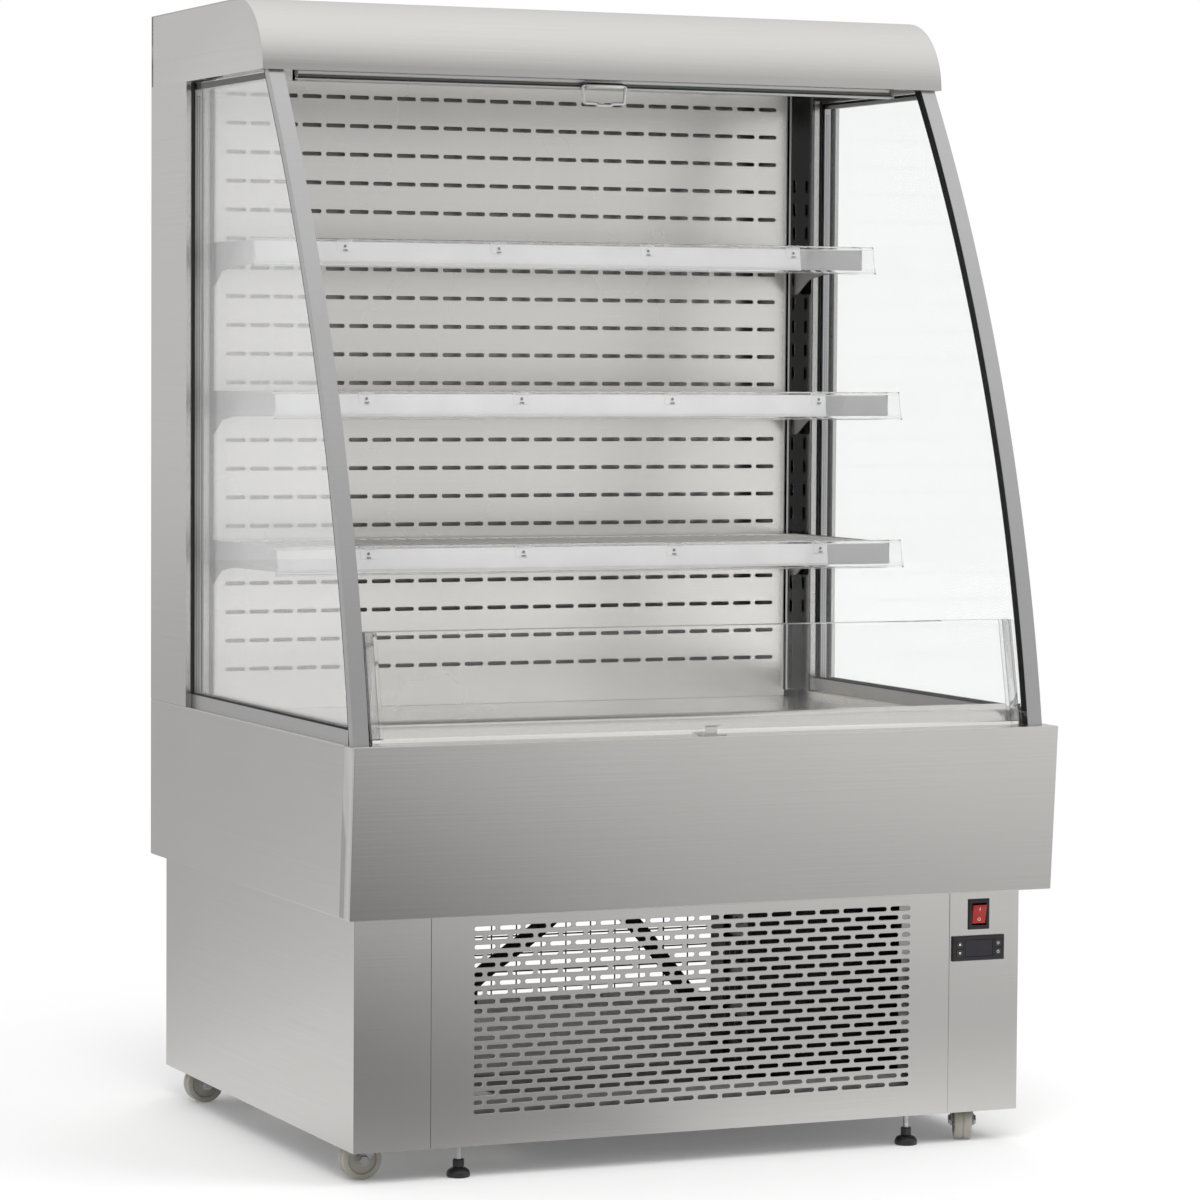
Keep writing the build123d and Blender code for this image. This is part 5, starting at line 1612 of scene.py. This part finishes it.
class FRIDGE_OT_condenser(bpy.types.Operator):
    """Condenser: fin pack with tube bends, pressed shroud and the fan's motor on its arm"""
    bl_idname = "fridge.condenser"
    bl_label = "Condenser"

    x0, x1, z0, z1 = 0.100, 0.330, 0.0715, 0.302
    front, rear, deep, sheet = back(0.650), back(0.590), back(0.556), 0.0012
    fins, fin_pitch, tube_columns, tubes, tube_pitch = 66, 0.0032, (0.014, 0.030, 0.046), 9, 0.025
    tube_foot, tube_ends = 0.016, 0.0062
    mouth_sides, mouth = 64, 0.104
    lip = [(0, 0), (0.0012, 0), (0.0012, 0.012), (0.005, 0.0170), (0.010, 0.0188), (0.010, 0.0200),
           (0.004, 0.0185), (0, 0.013)]
    motor = [(0, 0), (0.020, 0), (0.027, 0.004), (0.030, 0.010), (0.030, 0.030), (0.026, 0.037),
             (0.012, 0.040), (0, 0.040)]

    def execute(self, context):
        x0, x1, z0, z1, front, rear = self.x0, self.x1, self.z0, self.z1, self.front, self.rear
        fin = block("Fin", (x0 + 0.010, front + 0.001, z0 + 0.002),
                    (x0 + 0.0103, rear - 0.001, z1 - 0.002))
        repeat(fin, self.fins, (self.fin_pitch, 0, 0))
        ends = [block("End Plate", (x, front, z0), (x + self.sheet, rear, z1))
                for x in (x0 + 0.0065, x1 - 0.0077)]
        first, last, foot = x0 + self.tube_ends, x1 - self.tube_ends, z0 + self.tube_foot
        tubes, pitch = [], self.tube_pitch
        for column in self.tube_columns:
            y = front + column
            tubes.append(rod("Coil Tube", (first, y, foot), (last, y, foot), 0.0042, 10))
            repeat(tubes[-1], self.tubes, (0, 0, pitch))
        for x, way, z in ((first, -1, foot), (last, 1, foot + pitch)):
            near, far = x + way * 0.005, x + way * 0.0058
            for column in self.tube_columns:
                y = front + column
                route = [(x, y, z), (near, y, z), (far, y, z + 0.004), (far, y, z + 0.021),
                         (near, y, z + pitch), (x, y, z + pitch)]
                tubes.append(tube("Bend", route, 0.0040, 8))
                repeat(tubes[-1], self.tubes // 2, (0, 0, 2 * pitch))
        finish(join("condenser_coil_fins", fin, *ends), "Fin Metal",
               replaces=("condenser_coil",))
        finish(join("condenser_coil_tubes", *tubes), "Black Coat", smooth=50)
        self.shroud()
        return {"FINISHED"}

    def shroud(self):
        """Box behind the fins with a round mouth, two arms and the motor."""
        x0, x1, z0, z1, deep, sheet = self.x0, self.x1, self.z0, self.z1, self.deep, self.sheet
        x, z, radius, sides = (x0 + x1) / 2, (z0 + z1) / 2, self.mouth, self.mouth_sides
        lip = [(radius + out, up) for out, up in self.lip]
        mouth = turned("Mouth", lip, (x, deep - 0.018, z), Y, sides)
        plate = profile("Shroud Plate", [(x0, z0), (x1, z0), (x1, z1), (x0, z1)], Y,
                        deep - sheet, deep)
        circle = [(x + radius * cos(2 * pi * k / sides), z + radius * sin(2 * pi * k / sides))
                  for k in range(sides)]
        cut(plate, profile("Mouth Cutter", circle, Y, deep - 0.01, deep + 0.01))
        inner = self.rear - 0.004
        walls = [block("Wall", (x0, inner, level), (x1, deep, level + sheet))
                 for level in (z0, z1 - sheet)]
        walls += [block("Wall", (side, inner, z0), (side + sheet, deep, z1))
                  for side in (x0, x1 - sheet)]
        finish(join("condenser_coil_shroud", plate, mouth, *walls), "Black Coat")
        y = deep + sheet
        arms = [rod("Arm", (x0 + 0.004, y, level), (x1 - 0.004, y, level), 0.0022, 10)
                for level in (z - 0.0045, z + 0.0045)]
        motor = turned("Motor", self.motor, (x, deep, z), Y, 40)
        shaft = rod("Shaft", (x, deep, z), (x, deep - 0.020, z), 0.003, 20)
        finish(join("condenser_coil_motor", motor, *arms, shaft), "Black Coat")


class FRIDGE_OT_fans(bpy.types.Operator):
    """Axial fans with twisted, rounded blades on a hub"""
    bl_idname = "fridge.fans"
    bl_label = "Fans"

    blades, bore, hub_half, blade_thick = 5, 0.00305, 0.009, 0.0014

    def execute(self, context):
        self.rotor("evaporator_fan", (0, back(0.513), 0.452), 0.060, 0.020)
        self.rotor("condenser_fan", (0.215, back(0.572), 0.18675), 0.098, 0.026)
        return {"FINISHED"}

    def rotor(self, label, place, radius, hub):
        bore, half = self.bore, self.hub_half
        parts = [turned("Hub", [(bore, -half), (hub - 0.002, -half), (hub, 0.002 - half),
                                (hub, half - 0.002), (hub - 0.002, half), (bore, half)],
                        axis=Y, steps=40)]
        deselect()
        bpy.ops.mesh.primitive_grid_add(x_subdivisions=12, y_subdivisions=8, size=1)
        blade = named("Blade")

        def twist(vertex):
            out, along = vertex.co.x + 0.5, vertex.co.y * 2
            r = hub - 0.003 + (radius * 0.955 - hub + 0.003) * out
            chord = radius * (0.11 + 0.13 * sin(pi * min(1.0, 0.25 + 0.62 * out)) ** 0.8)
            pitch = radians(46 - 20 * out)
            s = along * chord
            sweep = 0.10 * radius * out * out
            x = sqrt(max(1e-9, r * r - (s * cos(pitch) * 0.3) ** 2))
            bulge = 0.10 * chord * (1 - along * along)
            vertex.co = (x, bulge - s * sin(pitch), s * cos(pitch) + sweep)

        reshape(blade, twist)
        apply(blade, "SOLIDIFY", thickness=self.blade_thick, offset=0)
        for k in range(self.blades):
            made = copy_of(blade, "Blade")
            made.rotation_euler = (0, 2 * pi * k / self.blades, 0)
            settle()
            parts.append(made)
        discard(blade)
        fan = join(f"{label}_rotor", *parts)
        fan.location = place
        settle()
        finish(fan, "Black Plastic", label, (label,))


# Studio ---------------------------------------------------------------------

# Grey level of the soft upright panels round the studio, by direction from 0 to 1
WALLS = ((0.00, 0.70), (0.0495, 0.62), (0.053, 0.86), (0.20, 0.95), (0.45, 0.45), (0.5535, 0.42),
         (0.562, 0.70), (0.60, 0.78), (0.72, 0.95), (0.97, 0.75))
# Grey level that the floor shows only in reflections, by direction from 0 to 1: painted reflection
# on the steel
GROUND = ((0.00, 0.48), (0.072, 0.55), (0.084, 0.68), (0.126, 0.86), (0.20, 0.90), (0.45, 0.40),
          (0.500, 0.44), (0.512, 0.56), (0.533, 0.80), (0.553, 0.94), (0.595, 1.02), (0.72, 0.98),
          (0.97, 0.40))


class FRIDGE_OT_stage(bpy.types.Operator):
    """Plain floor, white surroundings, soft lamps and the camera"""
    bl_idname = "fridge.stage"
    bl_label = "Studio"

    place = Vector((-2.2994, -5.3357, 1.0063))
    turn, dip, tilt = 0.4087, 0.0554, 0.0065
    lens, sensor, nearest, furthest = 133.8, 36, 0.1, 100
    ambient, ceiling, floor_size = 0.66, 1.18, 30
    # Name, place, aim, size and power
    lamps = (("Key Lamp", (-1.5, -3.2, 4.4), (0, 0, 0.7), 3.0, 118),
             ("Fill Lamp", (3.0, -2.8, 4.2), (0, 0, 0.7), 3.0, 88),
             ("Rear Lamp", (0.6, 3.0, 3.4), (0, 0, 0.9), 2.6, 50))

    def execute(self, context):
        context.scene.view_settings.view_transform = "Standard"
        self.camera(context.scene)
        self.surroundings(context.scene)
        self.floor()
        for values in self.lamps:
            lamp(*values)
        return {"FINISHED"}

    def camera(self, scene):
        turn, dip, tilt = self.turn, self.dip, self.tilt
        ahead = Vector((sin(turn) * cos(dip), cos(turn) * cos(dip), -sin(dip)))
        right = Vector((cos(turn), -sin(turn), 0))
        above = right.cross(ahead)
        across = right * cos(tilt) + above * sin(tilt)
        up = above * cos(tilt) - right * sin(tilt)
        data = bpy.data.cameras.new("Camera")
        data.lens, data.sensor_width = self.lens, self.sensor
        data.clip_start, data.clip_end = self.nearest, self.furthest
        camera = bpy.data.objects.new("Camera", data)
        scene.collection.objects.link(camera)
        camera.matrix_world = (Matrix.Translation(self.place)
                               @ Matrix((across, up, -ahead)).transposed().to_4x4())
        scene.camera = camera

    def surroundings(self, scene):
        """White for the eye and glass, soft upright panels for gloss, an even grey for the rest."""
        world = bpy.data.worlds.new("Studio")
        world.use_nodes = True
        scene.world = world
        tree = world.node_tree
        path = node(tree, "LightPath").outputs
        way = node(tree, "TexCoord").outputs["Generated"]
        panels = node(tree, "Group", node_tree=studio_group("Studio walls", WALLS), Direction=way)
        upward = node(tree, "SeparateXYZ", Vector=way).outputs["Z"]
        height = remap(tree, upward, 0.28, 0.95, 0.0, 1.0)
        gloss = mixed(tree, height, panels.outputs["Level"], grey(self.ceiling, 1))
        lit = mixed(tree, path["Is Glossy Ray"], grey(self.ambient, 1), gloss)
        seen = figure(tree, "MAXIMUM", path["Is Camera Ray"], path["Is Transmission Ray"])
        feed(tree, tree.nodes["Background"].inputs["Color"], mixed(tree, seen, lit, grey(1, 1)))

    def floor(self):
        deselect()
        bpy.ops.mesh.primitive_plane_add(size=self.floor_size)
        floor = named("Floor")
        floor_material()
        floor.data.materials.append(bpy.data.materials["Floor"])


def lamp(name, place, aim, size, power):
    """Square soft lamp that isn't mirrored in the object."""
    data = bpy.data.lights.new(name, "AREA")
    data.shape, data.size, data.energy = "SQUARE", size, power
    made = bpy.data.objects.new(name, data)
    bpy.context.scene.collection.objects.link(made)
    made.location = place
    made.rotation_euler = (Vector(aim) - Vector(place)).to_track_quat("-Z", "Y").to_euler()
    made.visible_glossy = made.visible_transmission = False


def studio_group(name, stops):
    """Grey level by direction round the studio, for the soft upright panels of the world and for
    the floor's painted reflection.
    """
    tree, start, end = group(name, {}, {"Level": "Color"})
    tree.interface.new_socket("Direction", in_out="INPUT", socket_type="NodeSocketVector")
    split = node(tree, "SeparateXYZ", Vector=start["Direction"]).outputs
    around = figure(tree, "ARCTAN2", split["X"], figure(tree, "MULTIPLY", split["Y"], -1.0))
    made = node(tree, "ValToRGB", Fac=remap(tree, around, -pi, pi, 0.0, 1.0))
    made.color_ramp.interpolation = "EASE"
    elements = made.color_ramp.elements
    while len(elements) < len(stops):
        elements.new(0.5)
    for element, (place, level) in zip(elements, stops):
        element.position, element.color = place, grey(level, 1)
    feed(tree, end["Level"], made.outputs["Color"])
    return tree


def floor_material():
    """Pale floor that keeps the object's shadow and runs out into plain white further away. Only in
    reflections it shows grey levels by direction and a darker patch in front: painted reflection
    and painted shade on the steel.
    """
    tree, shader = blank("Floor")
    dial(tree, shader, Base_Color=grey(0.94, 1), Roughness=1.0, Specular_IOR_Level=0.0)
    place = node(tree, "TexCoord").outputs["Object"]
    path = node(tree, "LightPath").outputs
    reach = calculated(tree, "VectorMath", "LENGTH", place).outputs["Value"]
    smooth = {"interpolation_type": "SMOOTHSTEP"}
    away = remap(tree, reach, 0.62, 1.7, 0.12, 1.0, **smooth)
    gloss = remap(tree, reach, 0.30, 0.65, 0.0, 1.0, **smooth)
    direct = figure(tree, "MAXIMUM", path["Is Camera Ray"], path["Is Transmission Ray"])
    reflected = figure(tree, "SUBTRACT", path["Is Glossy Ray"], path["Is Transmission Ray"],
                       use_clamp=True)
    share = figure(tree, "MAXIMUM", figure(tree, "MULTIPLY", away, direct),
                   figure(tree, "MULTIPLY", gloss, reflected))
    # Grey levels by direction and a darker patch in front, seen only by glossy rays: painted
    # reflection and painted shade
    around = node(tree, "Group", node_tree=studio_group("Studio ground", GROUND), Direction=place)
    deep = node(tree, "SeparateXYZ", Vector=place).outputs["Y"]
    before = remap(tree, deep, -0.6, -1.2, 0.0, 1.0)
    painted_shade = figure(tree, "MULTIPLY", before, remap(tree, reach, 1.6, 3.1, 0.45, 0.0))
    level = mixed(tree, painted_shade, around.outputs["Level"], grey(0, 1))
    white = node(tree, "Emission", Strength=1.0, Color=mixed(tree, reflected, grey(1, 1), level))
    cover(tree, share, shader, white.outputs["Emission"])


# Panel and registration -----------------------------------------------------

class FRIDGE_PT_parts(bpy.types.Panel):
    """Lists the steps in the order in which they run"""
    bl_idname = "FRIDGE_PT_parts"
    bl_label = "Display Fridge"
    bl_space_type = "VIEW_3D"
    bl_region_type = "UI"
    bl_category = "Fridge"

    def draw(self, context):
        for step in STEPS:
            self.layout.operator(step.bl_idname)


STEPS = (
    FRIDGE_OT_finishes,
    FRIDGE_OT_stage,
    FRIDGE_OT_grille,
    FRIDGE_OT_air_panel,
    FRIDGE_OT_sheets,
    FRIDGE_OT_glazing,
    FRIDGE_OT_controls,
    FRIDGE_OT_rear_guard,
    FRIDGE_OT_uprights,
    FRIDGE_OT_shelves,
    FRIDGE_OT_brackets,
    FRIDGE_OT_strips,
    FRIDGE_OT_casters,
    FRIDGE_OT_feet,
    FRIDGE_OT_blind,
    FRIDGE_OT_compressor,
    FRIDGE_OT_hose,
    FRIDGE_OT_tray,
    FRIDGE_OT_condenser,
    FRIDGE_OT_fans,
)
CLASSES = (FridgeSizes, FridgeColours, *STEPS, FRIDGE_PT_parts)


def register():
    for item in CLASSES:
        bpy.utils.register_class(item)
    bpy.types.Scene.fridge_sizes = PointerProperty(type=FridgeSizes)
    bpy.types.Scene.fridge_colours = PointerProperty(type=FridgeColours)


def unregister():
    del bpy.types.Scene.fridge_sizes
    del bpy.types.Scene.fridge_colours
    for item in reversed(CLASSES):
        bpy.utils.unregister_class(item)


def run(step):
    """Calls an operator by its idname, as the panel does."""
    area, name = step.bl_idname.split(".")
    getattr(getattr(bpy.ops, area), name)()


def main():
    register()
    for step in STEPS:
        run(step)


if __name__ == "__main__":
    main()
